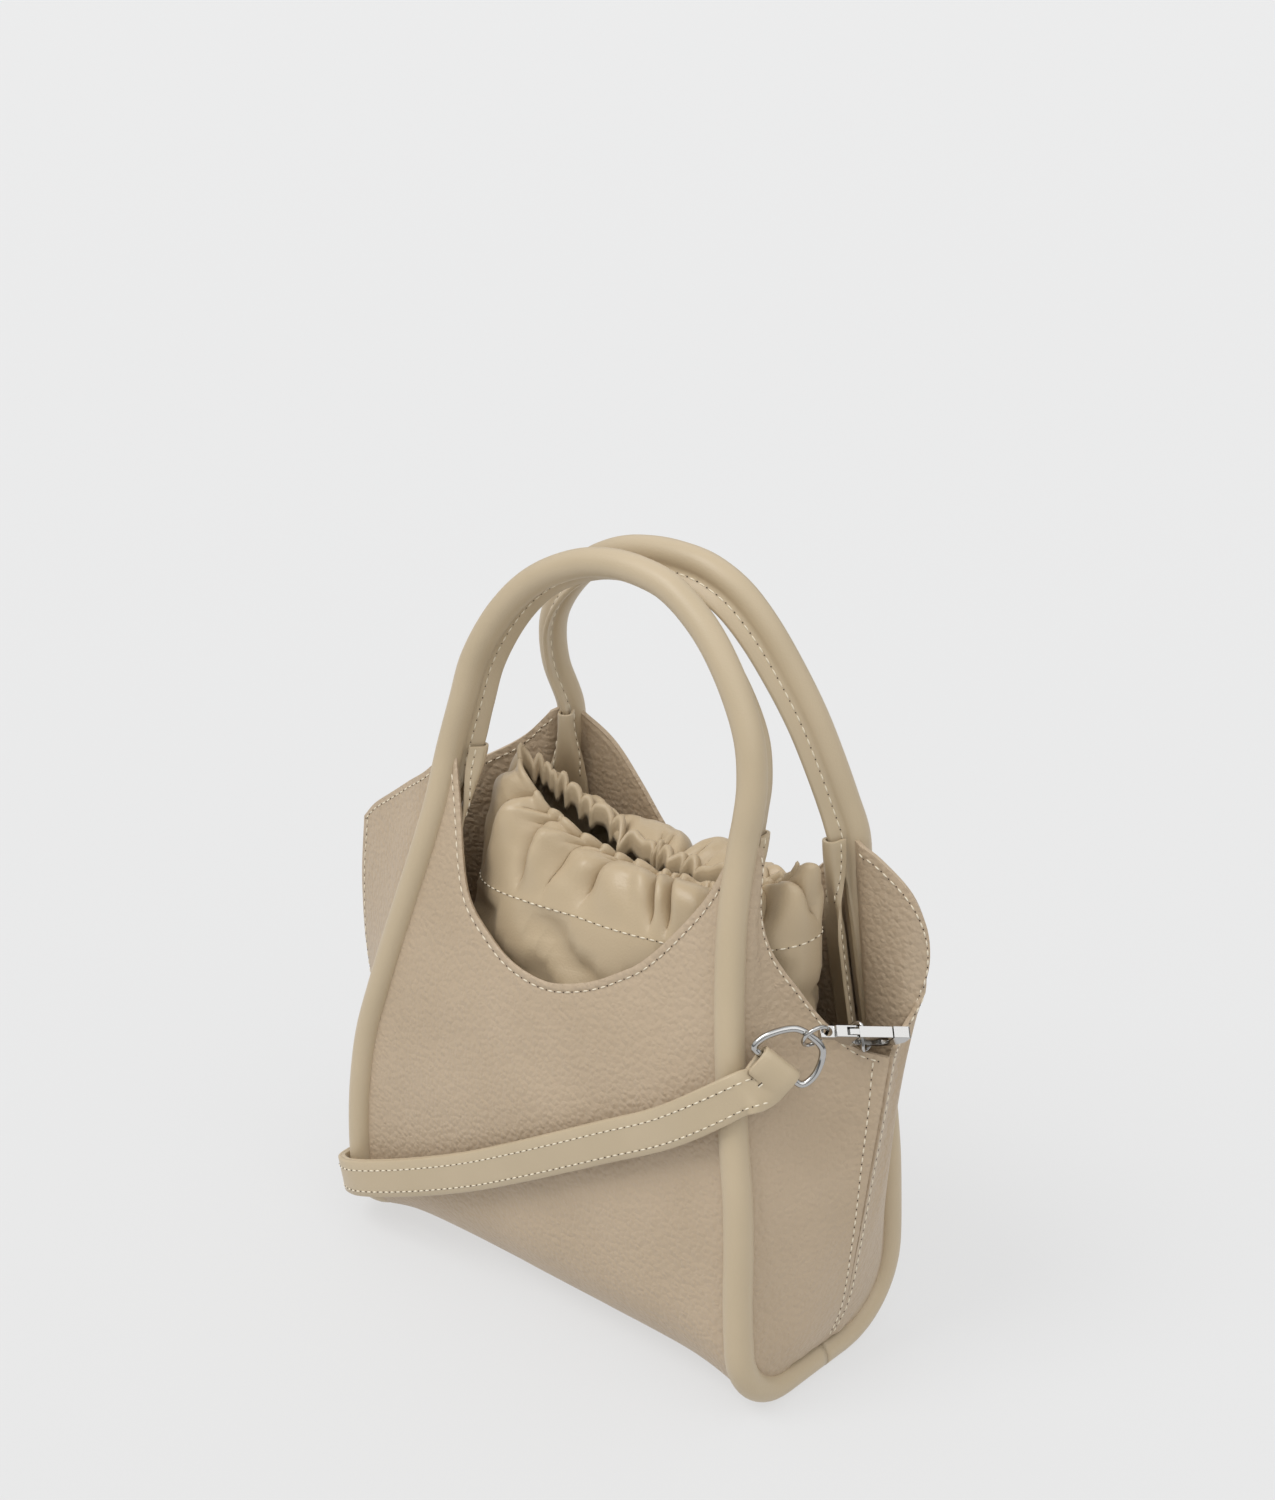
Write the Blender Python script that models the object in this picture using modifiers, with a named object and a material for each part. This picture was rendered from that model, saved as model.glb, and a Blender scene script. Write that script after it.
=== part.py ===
"""Mini tote bag: rolled tube handles, scooped leather shell, gathered inner pouch and clipped strap."""
import math

import bmesh
import bpy
from mathutils import Matrix, Vector

# Frame: metres, X along the bag's length (right is +X), front face towards -Y, Z up, floor at z = 0.
MM = 0.001

# Driving sizes, in millimetres
BASE_HALF_W = 96.0      # bag centre to the handle tube's centre line, at the base
BASE_HALF_D = 42.0      # the same, front to back
PEAK_H = 200.0          # height at which the handles leave the body
FRONT_LEAN = 26.0       # how far the front panel's top leans back
BACK_LEAN = 9.0         # how far the back panel's top leans forward
FRONT_CORNER_R = 21.0   # lower corner of the tube, seen from the side
BACK_CORNER_R = 29.0
FRONT_FOOT_R = 32.0     # rounding of the front panel into the base, between the tubes
HANDLE_RISE = 82.0      # arch above the peaks
TUBE_R = 5.2            # rolled handle tube
FLANGE_REACH = 11.5     # tube centre to the stitched flange's free edge
FLANGE_T = 1.9
WALL = 1.6              # shell leather
LINER_WALL = 1.3        # soft pouch leather
BINDING_T = 1.1
BINDING_DROP = 78.0     # length of the corner bindings
STRAP_W = 15.0
STRAP_T = 3.0
GAP = 0.3               # clearance kept between neighbouring pieces
POUCH_AROUND = 38
CASING_Z = 150.0        # height of the pouch casing's stitch line
MOUTH_Z = 184.0
PLEATS = 13
D_HALF = 9.8            # strap ring's bar, from its middle
D_REACH = 15.0          # bar to the curved side
D_WIRE = 1.25
LINK_R = 4.6            # small ring between strap ring and clasp
LINK_WIRE = 0.75
CLASP_HALF = 2.0        # half width of the clasp's body
CLASP_LONG = 29.3       # eye to nose
CLASP_PIVOT = (8.6, 0.3)
LOOP_WIRE = 0.65
LOOP_HALF = 5.0
TAB_T = 1.2
TAB_W = 4.0

# Corners: share of BASE_HALF_W at the base, then at the peak; share of PEAK_H; flange turn in degrees
# towards the middle of the arch. Side -1 is left, face -1 is front.
CORNERS = {
    (1, -1): dict(base=0.965, peak=0.730, high=1.012, turn=6.0),
    (-1, -1): dict(base=1.010, peak=0.705, high=1.004, turn=42.0),
    (1, 1): dict(base=0.990, peak=0.838, high=0.967, turn=12.0),
    (-1, 1): dict(base=1.010, peak=0.540, high=1.040, turn=32.0),
}
# How the lean builds up with height: share of the corner's height, share of its lean
LEAN = [(0.0, 0.0), (0.25, 0.01), (0.4, 0.11), (0.5, 0.28), (0.65, 0.56), (0.78, 0.79), (0.9, 0.95), (1.0, 1.0)]
# Top edge of the panels: place across from the left tube (-1) to the right (1), share of PEAK_H
FRONT_SCOOP = [(-1.0, 1.0), (-0.89, 0.915), (-0.78, 0.836), (-0.69, 0.783), (-0.6, 0.748), (-0.47, 0.717),
               (-0.33, 0.69), (-0.17, 0.675), (-0.02, 0.673), (0.12, 0.686), (0.26, 0.707), (0.4, 0.737),
               (0.53, 0.769), (0.74, 0.845), (0.915, 0.922), (1.0, 0.985)]
BACK_SCOOP = [(-1.0, 1.035), (-0.72, 0.99), (-0.46, 0.908), (-0.25, 0.832), (-0.05, 0.785), (0.2, 0.765),
              (0.45, 0.785), (0.66, 0.838), (0.84, 0.892), (1.0, 0.962)]
# Handle arches: share of BASE_HALF_W, share of HANDLE_RISE above PEAK_H; the ends are the corners' peaks
FRONT_ARCH = [(-0.665, 0.24), (-0.631, 0.43), (-0.547, 0.625), (-0.443, 0.773), (-0.325, 0.878), (-0.163, 0.963),
              (-0.022, 0.996), (0.12, 0.996), (0.265, 0.961), (0.416, 0.861), (0.533, 0.737), (0.636, 0.582),
              (0.702, 0.438), (0.734, 0.284), (0.738, 0.16)]
BACK_ARCH = [(-0.581, 0.316), (-0.563, 0.521), (-0.477, 0.691), (-0.324, 0.861), (-0.161, 0.959), (-0.01, 1.001),
             (0.133, 1.01), (0.271, 0.99), (0.4, 0.916), (0.501, 0.794), (0.598, 0.624), (0.68, 0.446),
             (0.738, 0.277), (0.797, 0.07)]
# Gusset seams from the floor up: share of BASE_HALF_W outwards, depth in mm, height in mm
RIGHT_SEAM = [(1.025, 3.0, 12.0), (1.085, 4.0, 29.0), (1.125, 4.0, 52.0), (1.157, 5.0, 77.0), (1.19, 7.0, 106.0),
              (1.21, 9.0, 130.0)]
LEFT_SEAM = [(1.03, 1.0, 12.0), (1.14, -1.0, 30.0), (1.26, -4.0, 58.0), (1.33, -6.0, 92.0), (1.345, -6.0, 125.0),
             (1.315, -6.0, 154.0)]
# Gusset top edges from the peak to the seam, in mm: outwards, depth, height
TOP_EDGES = {
    (1, -1): [(75.6, -12.6, 182.0), (79.7, -11.2, 166.1), (88.4, -6.0, 151.6), (96.5, -1.2, 140.0), (106.0, 3.8, 132.2)],
    (1, 1): [(94.0, 29.5, 189.3), (106.0, 33.0, 177.5), (111.0, 36.5, 161.0), (111.0, 34.0, 144.0), (109.5, 24.0, 131.0)],
    (-1, -1): [(84.0, -11.5, 186.5), (97.0, -9.5, 177.5), (109.0, -8.0, 169.0), (119.0, -7.0, 161.5)],
    (-1, 1): [(68.0, 23.0, 194.0), (83.0, 15.0, 183.5), (99.0, 7.0, 173.5), (114.0, 0.0, 163.5)],
}
GUSSET_BULGE = 3.0


def clear_scene():
    for obj in list(bpy.data.objects):
        bpy.data.objects.remove(obj, do_unlink=True)


def along(rows, t):
    """Catmull-Rom through rows of numbers, whose first column is the place."""
    if t <= rows[0][0]:
        return list(rows[0][1:])
    if t >= rows[-1][0]:
        return list(rows[-1][1:])
    i = max(k for k in range(len(rows) - 1) if rows[k][0] <= t)
    a, b = rows[i], rows[i + 1]
    before, after = rows[max(i - 1, 0)], rows[min(i + 2, len(rows) - 1)]
    step = b[0] - a[0]
    f = (t - a[0]) / step
    out = []
    for k in range(1, len(a)):
        m0 = (b[k] - before[k]) / (b[0] - before[0]) * step
        m1 = (after[k] - a[k]) / (after[0] - a[0]) * step
        out.append((2 * f**3 - 3 * f**2 + 1) * a[k] + (f**3 - 2 * f**2 + f) * m0
                   + (3 * f**2 - 2 * f**3) * b[k] + (f**3 - f**2) * m1)
    return out


def path(points):
    """Rows for along(), placed by length from 0 to 1."""
    total, rows = 0.0, [(0.0, *points[0])]
    for a, b in zip(points, points[1:]):
        total += math.dist(a[:3], b[:3])
        rows.append((total, *b))
    return [(row[0] / total, *row[1:]) for row in rows]


def blend(a, b, t):
    return a + (b - a) * t


def ease(t):
    t = min(max(t, 0.0), 1.0)
    return t * t * (3 - 2 * t)


def corner_r(face):
    return FRONT_CORNER_R if face < 0 else BACK_CORNER_R


def tube_depth(face, z):
    """Depth of the tube's centre line at height z, away from the rounded lower corner."""
    share = max(0.0, z - 25.0) / (PEAK_H - 25.0)
    if face < 0:
        return -BASE_HALF_D + FRONT_LEAN * share**2.0
    return BASE_HALF_D - BACK_LEAN * share**1.6


def tube_width(side, face, z):
    """Tube's centre line from the middle: it starts at the foot both tubes of a side share, then leans in."""
    corner = CORNERS[side, face]
    lean = along(LEAN, z / (PEAK_H * corner["high"]))[0]
    leant = blend(corner["base"], corner["peak"], lean)
    return side * BASE_HALF_W * blend(1.0, leant, ease(z / 45.0))


def tube_at(side, face, z):
    """Centre of the tube at height z above the lower corner."""
    return Vector((tube_width(side, face, z), tube_depth(face, z), z))


def body_tube(side, face, count):
    """Centre line from the middle of the side's lower edge up to the peak."""
    r = corner_r(face)
    low = TUBE_R + 0.02
    x = tube_width(side, face, low)
    points = [Vector((x, face * (GAP * 0.7 + (BASE_HALF_D - r) * k / 3), low)) for k in range(4)]
    for k in range(1, 7):
        a = math.pi / 2 * k / 6
        z = low + r * (1 - math.cos(a))
        points.append(Vector((tube_width(side, face, z), face * (BASE_HALF_D - r + r * math.sin(a)), z)))
    top = PEAK_H * CORNERS[side, face]["high"]
    for k in range(1, count + 1):
        points.append(tube_at(side, face, blend(low + r, top, k / count)))
    return points


def arch_points(face):
    rows = FRONT_ARCH if face < 0 else BACK_ARCH
    points = []
    for across, up in rows:
        z = PEAK_H + HANDLE_RISE * up
        lean = min((z - PEAK_H) / 105.0, 1.0)
        points.append(Vector((BASE_HALF_W * across, -16.0 + 20.0 * lean if face < 0 else 33.0 - 18.0 * lean, z)))
    return points


def handle_path(face):
    """Whole centre line of one handle tube, right side's foot to left side's foot."""
    right, left = body_tube(1, face, 9), body_tube(-1, face, 9)
    return right + arch_points(face)[::-1] + left[::-1], len(right) - 1, len(right) + len(arch_points(face))


# Meshes


def material(name, colour, rough, metal=0.0):
    mat = bpy.data.materials.new(name)
    mat.use_nodes = True
    shader = mat.node_tree.nodes["Principled BSDF"]
    shader.inputs["Base Color"].default_value = (*colour, 1.0)
    shader.inputs["Roughness"].default_value = rough
    shader.inputs["Metallic"].default_value = metal
    mat.diffuse_color = (*colour, 1.0)
    return mat


def make(name, points, faces, mat, collection):
    """One object from points in millimetres."""
    mesh = bpy.data.meshes.new(name)
    mesh.from_pydata([Vector(p) * MM for p in points], [], faces)
    grid = bmesh.new()
    grid.from_mesh(mesh)
    bmesh.ops.recalc_face_normals(grid, faces=grid.faces)
    grid.to_mesh(mesh)
    grid.free()
    mesh.materials.append(mat)
    obj = bpy.data.objects.new(name, mesh)
    collection.objects.link(obj)
    return obj


def sheet(name, rows, thick, mat, collection, ring=False):
    """Leather sheet over a grid of points, thick on both sides of it; a ring closes each row on itself."""
    wide = len(rows[0])
    points = [p for row in rows for p in row]
    faces = []
    for i in range(len(rows) - 1):
        for j in range(wide if ring else wide - 1):
            k = (j + 1) % wide
            faces.append((i * wide + j, i * wide + k, (i + 1) * wide + k, (i + 1) * wide + j))
    obj = make(name, points, faces, mat, collection)
    solid = obj.modifiers.new("thickness", "SOLIDIFY")
    solid.thickness = thick * MM
    solid.offset = 0.0
    solid.use_even_offset = True
    return obj


def sweep(name, rings, mat, collection, loop=False):
    """Solid through a list of equal-sized rings of points, capped unless it closes on itself."""
    wide = len(rings[0])
    points = [p for ring in rings for p in ring]
    faces = []
    for i in range(len(rings) if loop else len(rings) - 1):
        n = (i + 1) % len(rings)
        for j in range(wide):
            k = (j + 1) % wide
            faces.append((i * wide + j, i * wide + k, n * wide + k, n * wide + j))
    if not loop:
        faces.append(tuple(range(wide)))
        faces.append(tuple((len(rings) - 1) * wide + k for k in reversed(range(wide))))
    return make(name, points, faces, mat, collection)


def tangents(points, loop=False):
    out = []
    for i in range(len(points)):
        a = points[i - 1] if i or loop else points[i]
        b = points[(i + 1) % len(points)] if i < len(points) - 1 or loop else points[i]
        out.append((b - a).normalized())
    return out


def wire(name, points, radius, mat, collection, sides=8, loop=True):
    """Round wire along points."""
    rings = []
    ways = tangents(points, loop)
    up = ways[0].orthogonal().normalized()
    for point, way in zip(points, ways):
        up = (up - way * up.dot(way)).normalized()
        across = way.cross(up)
        turn = [2 * math.pi * k / sides for k in range(sides)]
        rings.append([point + (up * math.cos(a) + across * math.sin(a)) * radius for a in turn])
    return sweep(name, rings, mat, collection, loop)


# Shell


def build_wrap(mat, collection):
    """Front panel, base and back panel in one piece, with a scoop in each top edge."""
    across = 16
    rows = []
    for i in range(across + 1):
        u = -1 + 2 * i / across
        column = []
        for face in (-1, 1):
            r = corner_r(face)
            if face < 0:
                r = blend(FRONT_CORNER_R, FRONT_FOOT_R, 1 - abs(u) ** 6)
            scoop = FRONT_SCOOP if face < 0 else BACK_SCOOP
            top = PEAK_H * along(scoop, u)[0]
            low = TUBE_R + r
            inset = TUBE_R + GAP + 0.4
            points = []
            for k in range(8):
                z = blend(top, low, k / 7)
                left, right = tube_width(-1, face, z) + inset, tube_width(1, face, z) - inset
                swell = (1 - u * u) * 3.0 * math.sin(math.pi * min(z / PEAK_H, 1.0)) ** 2
                y = tube_depth(face, z) + face * (0.4 + swell)
                points.append(Vector((blend(left, right, (u + 1) / 2), y, z)))
            left, right = tube_width(-1, face, low) + inset, tube_width(1, face, low) - inset
            x = blend(left, right, (u + 1) / 2)
            base_y = abs(points[-1].y)
            for k in range(1, 5):
                a = math.pi / 2 * k / 4
                y = face * (BASE_HALF_D - r + (base_y - BASE_HALF_D + r) * math.cos(a))
                points.append(Vector((x, y, low - (low - WALL / 2) * math.sin(a))))
            column.append(points)
        front, back = column
        middle = [blend(front[-1], back[-1], k / 3) for k in (1, 2)]
        rows.append(front + middle + back[::-1])
    return sheet("shell_front_base_back", rows, WALL, mat, collection)


def gusset_start(side, face, v):
    """Edge of a gusset half against its tube, v from the foot to the peak."""
    points = body_tube(side, face, 12)[1:]
    rows = path([tuple(p) for p in points])
    here = Vector(along(rows, v))
    way = (Vector(along(rows, min(v + 0.01, 1.0))) - Vector(along(rows, max(v - 0.01, 0.0)))).normalized()
    inward = Vector((0, -face * way.z, abs(way.y)))
    inward.normalize()
    turn = math.radians(CORNERS[side, face]["turn"])
    out = blend(math.radians(14.0), math.radians(50.0) - turn, ease((v - 0.6) / 0.35))
    reach = TUBE_R + GAP + WALL / 2 + 0.25 + 0.4 * ease((v - 0.8) / 0.2)
    return here + (inward * math.cos(out) + Vector((side, 0, 0)) * math.sin(out)) * reach


def build_gusset(name, side, face, mat, collection):
    """Half of a side gusset, from its tube to the centre seam."""
    seam = [(side * BASE_HALF_W * a, y, z) for a, y, z in (RIGHT_SEAM if side > 0 else LEFT_SEAM)]
    seam_rows = path(seam)
    top = [tuple(gusset_start(side, face, 1.0))]
    top += [(side * x, y, z) for x, y, z in TOP_EDGES[side, face]]
    top.append(seam[-1])
    edge_rows = path(top)
    up, over = 12, 8
    rows = []
    for i in range(up + 1):
        v = i / up
        start = gusset_start(side, face, 0.05 + 0.95 * v)
        end = Vector(along(seam_rows, v))
        row = []
        for j in range(over + 1):
            u = j / over
            flat = blend(start, end, u)
            edge = Vector(along(edge_rows, u))
            plain = blend(Vector(top[0]), Vector(top[-1]), u)
            swell = GUSSET_BULGE * math.sin(math.pi * u) * math.sin(math.pi * min(v * 1.1, 1.0)) ** 0.7
            row.append(flat + (edge - plain) * v**2.2 + Vector((side * swell, 0, 0)))
        last = (row[-1] - row[-2]).normalized()
        clear = GAP * 0.6 + WALL / 2 * abs(last.x) * 1.15
        rows.append([p + Vector((0, face * clear * (j / over) ** 2, 0)) for j, p in enumerate(row)])
    return sheet(name, rows, WALL, mat, collection)


def flange_way(side, face, turn):
    a = math.radians(turn)
    return Vector((-side * math.sin(a), -face * math.cos(a), 0))


def build_handle(name, face, mat, collection):
    """Tube and stitched flange swept along the whole handle path."""
    points, first, last = handle_path(face)
    ways = tangents(points)
    right, left = CORNERS[1, face]["turn"], CORNERS[-1, face]["turn"]
    count = len(points)
    rings = []
    for i, (point, way) in enumerate(zip(points, ways)):
        share = min(max((i - first) / (last - first), 0.0), 1.0)
        inner = Vector((0, 0, -1)) if way.z == 0 else Vector((0, 0, -1)) - way * -way.z
        side = blend(1.0, -1.0, share)
        across = flange_way(1, face, right) if share < 0.5 else flange_way(-1, face, left)
        crown = Vector((0, -face, -1)).normalized()
        weight = ease(1 - abs(share - 0.5) * 2)
        want = across * (1 - weight) + crown * weight
        if i < first - 1 or i > last + 1:
            want = Vector((0, -face * abs(way.z), abs(way.y))) + flange_way(1 if i < first else -1, face, 0) * 0.01
        want = (want - way * want.dot(way)).normalized()
        beside = way.cross(want).normalized()
        reach = FLANGE_REACH
        if i < first or i > last:
            reach = TUBE_R * 1.0
        half = math.asin(FLANGE_T / 2 / TUBE_R)
        ring = []
        for k in range(9):
            a = half + (2 * math.pi - 2 * half) * k / 8
            ring.append(point + (want * math.cos(a) + beside * math.sin(a)) * TUBE_R)
        for sign in (-1, 1):
            ring.append(point + want * max(reach, TUBE_R * math.cos(half) + 0.02) + beside * sign * FLANGE_T / 2)
        rings.append(ring)
    return sweep(name, rings, mat, collection)


def build_binding(name, side, face, mat, collection):
    """Folded strip inside a corner: a pocket round the flange's foot that opens out downwards."""
    corner = CORNERS[side, face]
    top = PEAK_H * corner["high"]
    rows = []
    steps = 8
    for i in range(steps + 1):
        f = i / steps
        z = top + 1.0 - BINDING_DROP * f
        centre = tube_at(side, face, min(z, top))
        centre.z = z
        way = flange_way(side, face, corner["turn"])
        beside = Vector((-side, 0, 0)) - way * way.dot(Vector((-side, 0, 0)))
        beside.normalize()
        half = FLANGE_T / 2 + GAP + BINDING_T / 2 + 0.4
        near = TUBE_R + GAP + BINDING_T / 2 + 0.7
        far = FLANGE_REACH + GAP + BINDING_T / 2 + 1.1
        pocket = [way * near + beside * half, way * (far - 1.2) + beside * half, way * far + beside * half * 0.45,
                  way * far - beside * half * 0.45, way * (far - 1.2) - beside * half, way * near - beside * half]
        panel, gusset = Vector((-side, 0, 0)), Vector((side * 0.25, -face, 0)).normalized()
        inner = WALL / 2 + GAP + BINDING_T / 2 + 0.9
        bend = (Vector((-side, 0, 0)) + Vector((0, -face, 0))) * 1.0
        opened = [panel * (TUBE_R + 9.0) - Vector((0, face, 0)) * inner,
                  panel * (TUBE_R + 5.5) - Vector((0, face, 0)) * (inner + 0.6),
                  bend * (TUBE_R * 0.95), bend * (TUBE_R * 0.95) + Vector((side * 1.6, -face * 1.2, 0)),
                  Vector((0, -face, 0)) * (TUBE_R + 5.5) - Vector((side, 0, 0)) * 1.2,
                  gusset * (TUBE_R + 9.0) - Vector((side, 0, 0)) * 2.8]
        mix = ease((f - 0.05) / 0.45)
        rows.append([centre + blend(a, b, mix) for a, b in zip(pocket, opened)])
    return sheet(name, rows, BINDING_T, mat, collection)


# Pouch

def foot_inset(r, z):
    """How far the rounding of the foot takes the wall inwards at height z."""
    return r * (1 - math.sqrt(1 - max(0.0, 1 - z / r) ** 2))


def pouch_limits(z):
    """Room inside the shell at height z: left, right, front, back."""
    front = tube_depth(-1, z) + 5.0 + foot_inset(FRONT_FOOT_R + TUBE_R, z)
    back = tube_depth(1, z) - 5.0 - foot_inset(BACK_CORNER_R + TUBE_R, z)
    sides = 4.0 * (1 - ease((z - 10.0) / 12.0))
    left = 0.5 * (tube_width(-1, -1, z) + tube_width(-1, 1, z)) + 6.0 + sides
    right = 0.5 * (tube_width(1, -1, z) + tube_width(1, 1, z)) - 4.0 - sides
    return left, right, front, back


def pouch_point(a, v):
    """Point of the pouch wall at angle a, v from the floor's edge (0) to the casing (0.6) and the mouth (1)."""
    c, s = math.cos(a), math.sin(a)
    if v <= 0.6:
        f = v / 0.6
        z = blend(3.9, CASING_Z + 8.0 * c, f)
        left, right, front, back = pouch_limits(min(z, CASING_Z + 8.0))
        power = blend(0.42, 0.62, f)
        half_w, half_d = (right - left) / 2, (back - front) / 2 * (1 - 0.34 * abs(c) ** 3 * f)
        x = (left + right) / 2 + half_w * math.copysign(abs(c) ** power, c)
        y = (front + back) / 2 + half_d * math.copysign(abs(s) ** power, s)
        x += max(0.0, c) * 10.0 * f**2
        return Vector((x, y, z))
    f = (v - 0.6) / 0.4
    below = pouch_point(a, 0.6)
    ruffle = math.sin(PLEATS * a + 0.9 * math.sin(2 * a))
    mouth_y = 6.0 + math.copysign(5.2, s) * abs(s) ** 0.8 + ruffle * 1.6 * abs(s)
    mouth = Vector((blend(-53.0, 76.0, (c + 1) / 2), mouth_y, MOUTH_Z + 9.0 * c * c - 5.0 * c + ruffle * 2.0))
    point = blend(below, mouth, f)
    lift = math.sin(math.pi * f)
    point.z += lift * (9.0 + 3.0 * ruffle)
    point.x += lift * 3.0 * c
    point.y += lift * (4.0 + 1.5 * ruffle) * s * 0.5
    return point


def build_pouch(mat, collection):
    """Gathered pouch: floor, wall, casing drawn in to a narrow mouth."""
    levels = [0.0, 0.08, 0.2, 0.34, 0.48, 0.6, 0.68, 0.76, 0.84, 0.92, 1.0]
    rows = []
    for share in (0.03, 0.5):
        edge = [pouch_point(2 * math.pi * j / POUCH_AROUND, 0.0) for j in range(POUCH_AROUND)]
        rows.append([Vector((p.x * share, p.y * share, WALL + GAP + LINER_WALL / 2 + 0.2)) for p in edge])
    for v in levels:
        rows.append([pouch_point(2 * math.pi * j / POUCH_AROUND, v) for j in range(POUCH_AROUND)])
    wide = POUCH_AROUND
    points = [p for row in rows for p in row]
    faces = [tuple(range(wide))]
    for i in range(len(rows) - 1):
        for j in range(wide):
            k = (j + 1) % wide
            faces.append((i * wide + j, i * wide + k, (i + 1) * wide + k, (i + 1) * wide + j))
    obj = make("pouch", points, faces, mat, collection)
    solid = obj.modifiers.new("thickness", "SOLIDIFY")
    solid.thickness = LINER_WALL * MM
    solid.offset = 0.0
    return obj


# Strap and metalwork

# Strap: middle of the band in mm, then the way its width points
STRAP = [
    ((90.0, -38.8, 126.5), (-0.62, -0.38, 0.68)),
    ((82.0, -43.6, 120.5), (-0.63, -0.15, 0.76)),
    ((71.0, -45.6, 112.0), (-0.58, 0.0, 0.81)),
    ((58.0, -46.2, 103.0), (-0.55, 0.0, 0.835)),
    ((38.0, -47.6, 91.5), (-0.50, 0.0, 0.866)),
    ((16.0, -48.8, 78.5), (-0.49, 0.0, 0.87)),
    ((-6.0, -49.2, 65.5), (-0.47, 0.0, 0.883)),
    ((-28.0, -49.4, 53.0), (-0.43, 0.0, 0.90)),
    ((-50.0, -49.8, 42.0), (-0.38, 0.0, 0.925)),
    ((-72.0, -50.6, 32.2), (-0.33, -0.02, 0.944)),
    ((-92.0, -51.0, 24.5), (-0.25, -0.04, 0.968)),
    ((-102.0, -47.0, 21.0), (-0.15, -0.06, 0.985)),
    ((-106.2, -38.0, 19.0), (-0.05, 0.0, 1.0)),
    ((-109.0, -22.0, 16.5), (0.0, 0.05, 1.0)),
    ((-115.0, -4.0, 14.0), (0.0, 0.15, 0.99)),
    ((-123.0, 12.0, 16.0), (0.1, 0.45, 0.90)),
    ((-130.5, 22.0, 26.0), (0.25, 0.80, 0.60)),
    ((-134.5, 25.0, 42.0), (0.45, 0.85, 0.20)),
    ((-134.6, 19.5, 59.0), (0.65, 0.75, 0.0)),
    ((-132.2, 14.0, 74.0), (0.75, 0.66, 0.0)),
]
# Ends of the strap: middle of the ring's bar, way of the bar, way from the bar to the ring's curve, sideways
# lean of the curve, facing of the small ring, way of the clasp, far end of the gusset loop, way of the loop's
# wire, foot of its leather tab; the last column says whether the clasp has its sprung lever apart.
ENDS = {
    "right": dict(bar=(95.2, -26.3, 133.3), along=(0.588, 0.486, -0.644), out=(0.343, 0.572, 0.745), lean=0.16,
                  link=(0.80, -0.26, -0.42), clasp=(0.556, 0.816, -0.150), high=(0.5, -0.5, 0.7),
                  loop=(103.2, 7.6, 134.4), wire=(0.89, 0.45, -0.15), tab=(104.6, 5.6, 121.0), lever=True),
    "left": dict(bar=(-129.8, 9.6, 91.5), along=(0.79, 0.61, 0.0), out=(0.0, 0.0, 1.0), lean=0.0,
                 link=(0.79, 0.61, 0.0), clasp=(0.0, 0.0, 1.0), high=(-0.61, 0.79, 0.0),
                 loop=(-123.8, 1.8, 144.0), wire=(0.79, 0.61, 0.0), tab=(-122.9, 1.2, 153.5), lever=False),
}


def end_frame(end):
    """Bar's middle and the square-on ways of a strap ring: along the bar, out to the curve, face."""
    bar, out = Vector(end["along"]).normalized(), Vector(end["out"])
    out = (out - bar * out.dot(bar)).normalized()
    return Vector(end["bar"]), bar, out, bar.cross(out)


def fold(end, flip):
    """Rings' middles, width and half thickness where the strap turns back round the bar."""
    middle, bar, out, face = end_frame(end)
    face = face * flip
    half = 0.95
    turn = D_WIRE + GAP + half
    rows = [(-11.0, -half - GAP / 2), (-8.5, -half - GAP / 2 - 0.1), (-4.5, -turn * 0.86), (-1.5, -turn)]
    rows += [(turn * math.sin(a), -turn * math.cos(a)) for a in [math.pi * k / 6 for k in range(1, 6)]]
    rows += [(-1.5, turn), (-4.5, turn * 0.86), (-8.5, half + GAP / 2 + 0.2)]
    return [(middle + out * u + face * v, bar, half) for u, v in rows]


def build_strap(mat, collection):
    """One long band; each end turns back round the bar of its ring."""
    table = path([(*p, *w) for p, w in STRAP])
    steps = 38
    band = []
    for i in range(steps + 1):
        row = along(table, i / steps)
        near = min(i, steps - i) / 3
        band.append((Vector(row[:3]), Vector(row[3:]), blend(1.1, STRAP_T / 2, ease(near))))
    start = [(p, -w, h) for p, w, h in fold(ENDS["right"], 1)]
    finish = fold(ENDS["left"], -1)[::-1]
    whole = start + band + finish
    ways = tangents([p for p, _, _ in whole])
    rings = []
    for (point, width, half), way in zip(whole, ways):
        width = (width - way * width.dot(way)).normalized()
        thin = way.cross(width).normalized()
        edge = [(-1, -0.45), (-0.93, -1), (0.93, -1), (1, -0.45), (1, 0.45), (0.93, 1), (-0.93, 1), (-1, 0.45)]
        rings.append([point + width * a * STRAP_W / 2 + thin * b * half for a, b in edge])
    return sweep("strap", rings, mat, collection)


def build_strap_ring(word, end, mat, collection):
    """Strap ring: straight bar inside the strap's fold and a flat-topped curve outside it."""
    middle, bar, out, _ = end_frame(end)
    outline = [(-1.0, 0.0), (-0.5, 0.0), (0.0, 0.0), (0.5, 0.0), (1.0, 0.0), (1.12, 0.07), (1.15, 0.2), (1.12, 0.38),
               (1.0, 0.58), (0.82, 0.78), (0.62, 0.92), (0.36, 0.985), (0.0, 1.0), (-0.36, 0.985), (-0.62, 0.92),
               (-0.82, 0.78), (-1.0, 0.58), (-1.12, 0.38), (-1.15, 0.2), (-1.12, 0.07)]
    points = []
    for a, b in outline:
        points.append(middle + bar * (a * D_HALF + b * D_REACH * end["lean"]) + out * b * D_REACH)
    wire(f"strap_ring_{word}", points, D_WIRE, mat, collection)
    return middle + bar * D_REACH * end["lean"] + out * D_REACH


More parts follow.
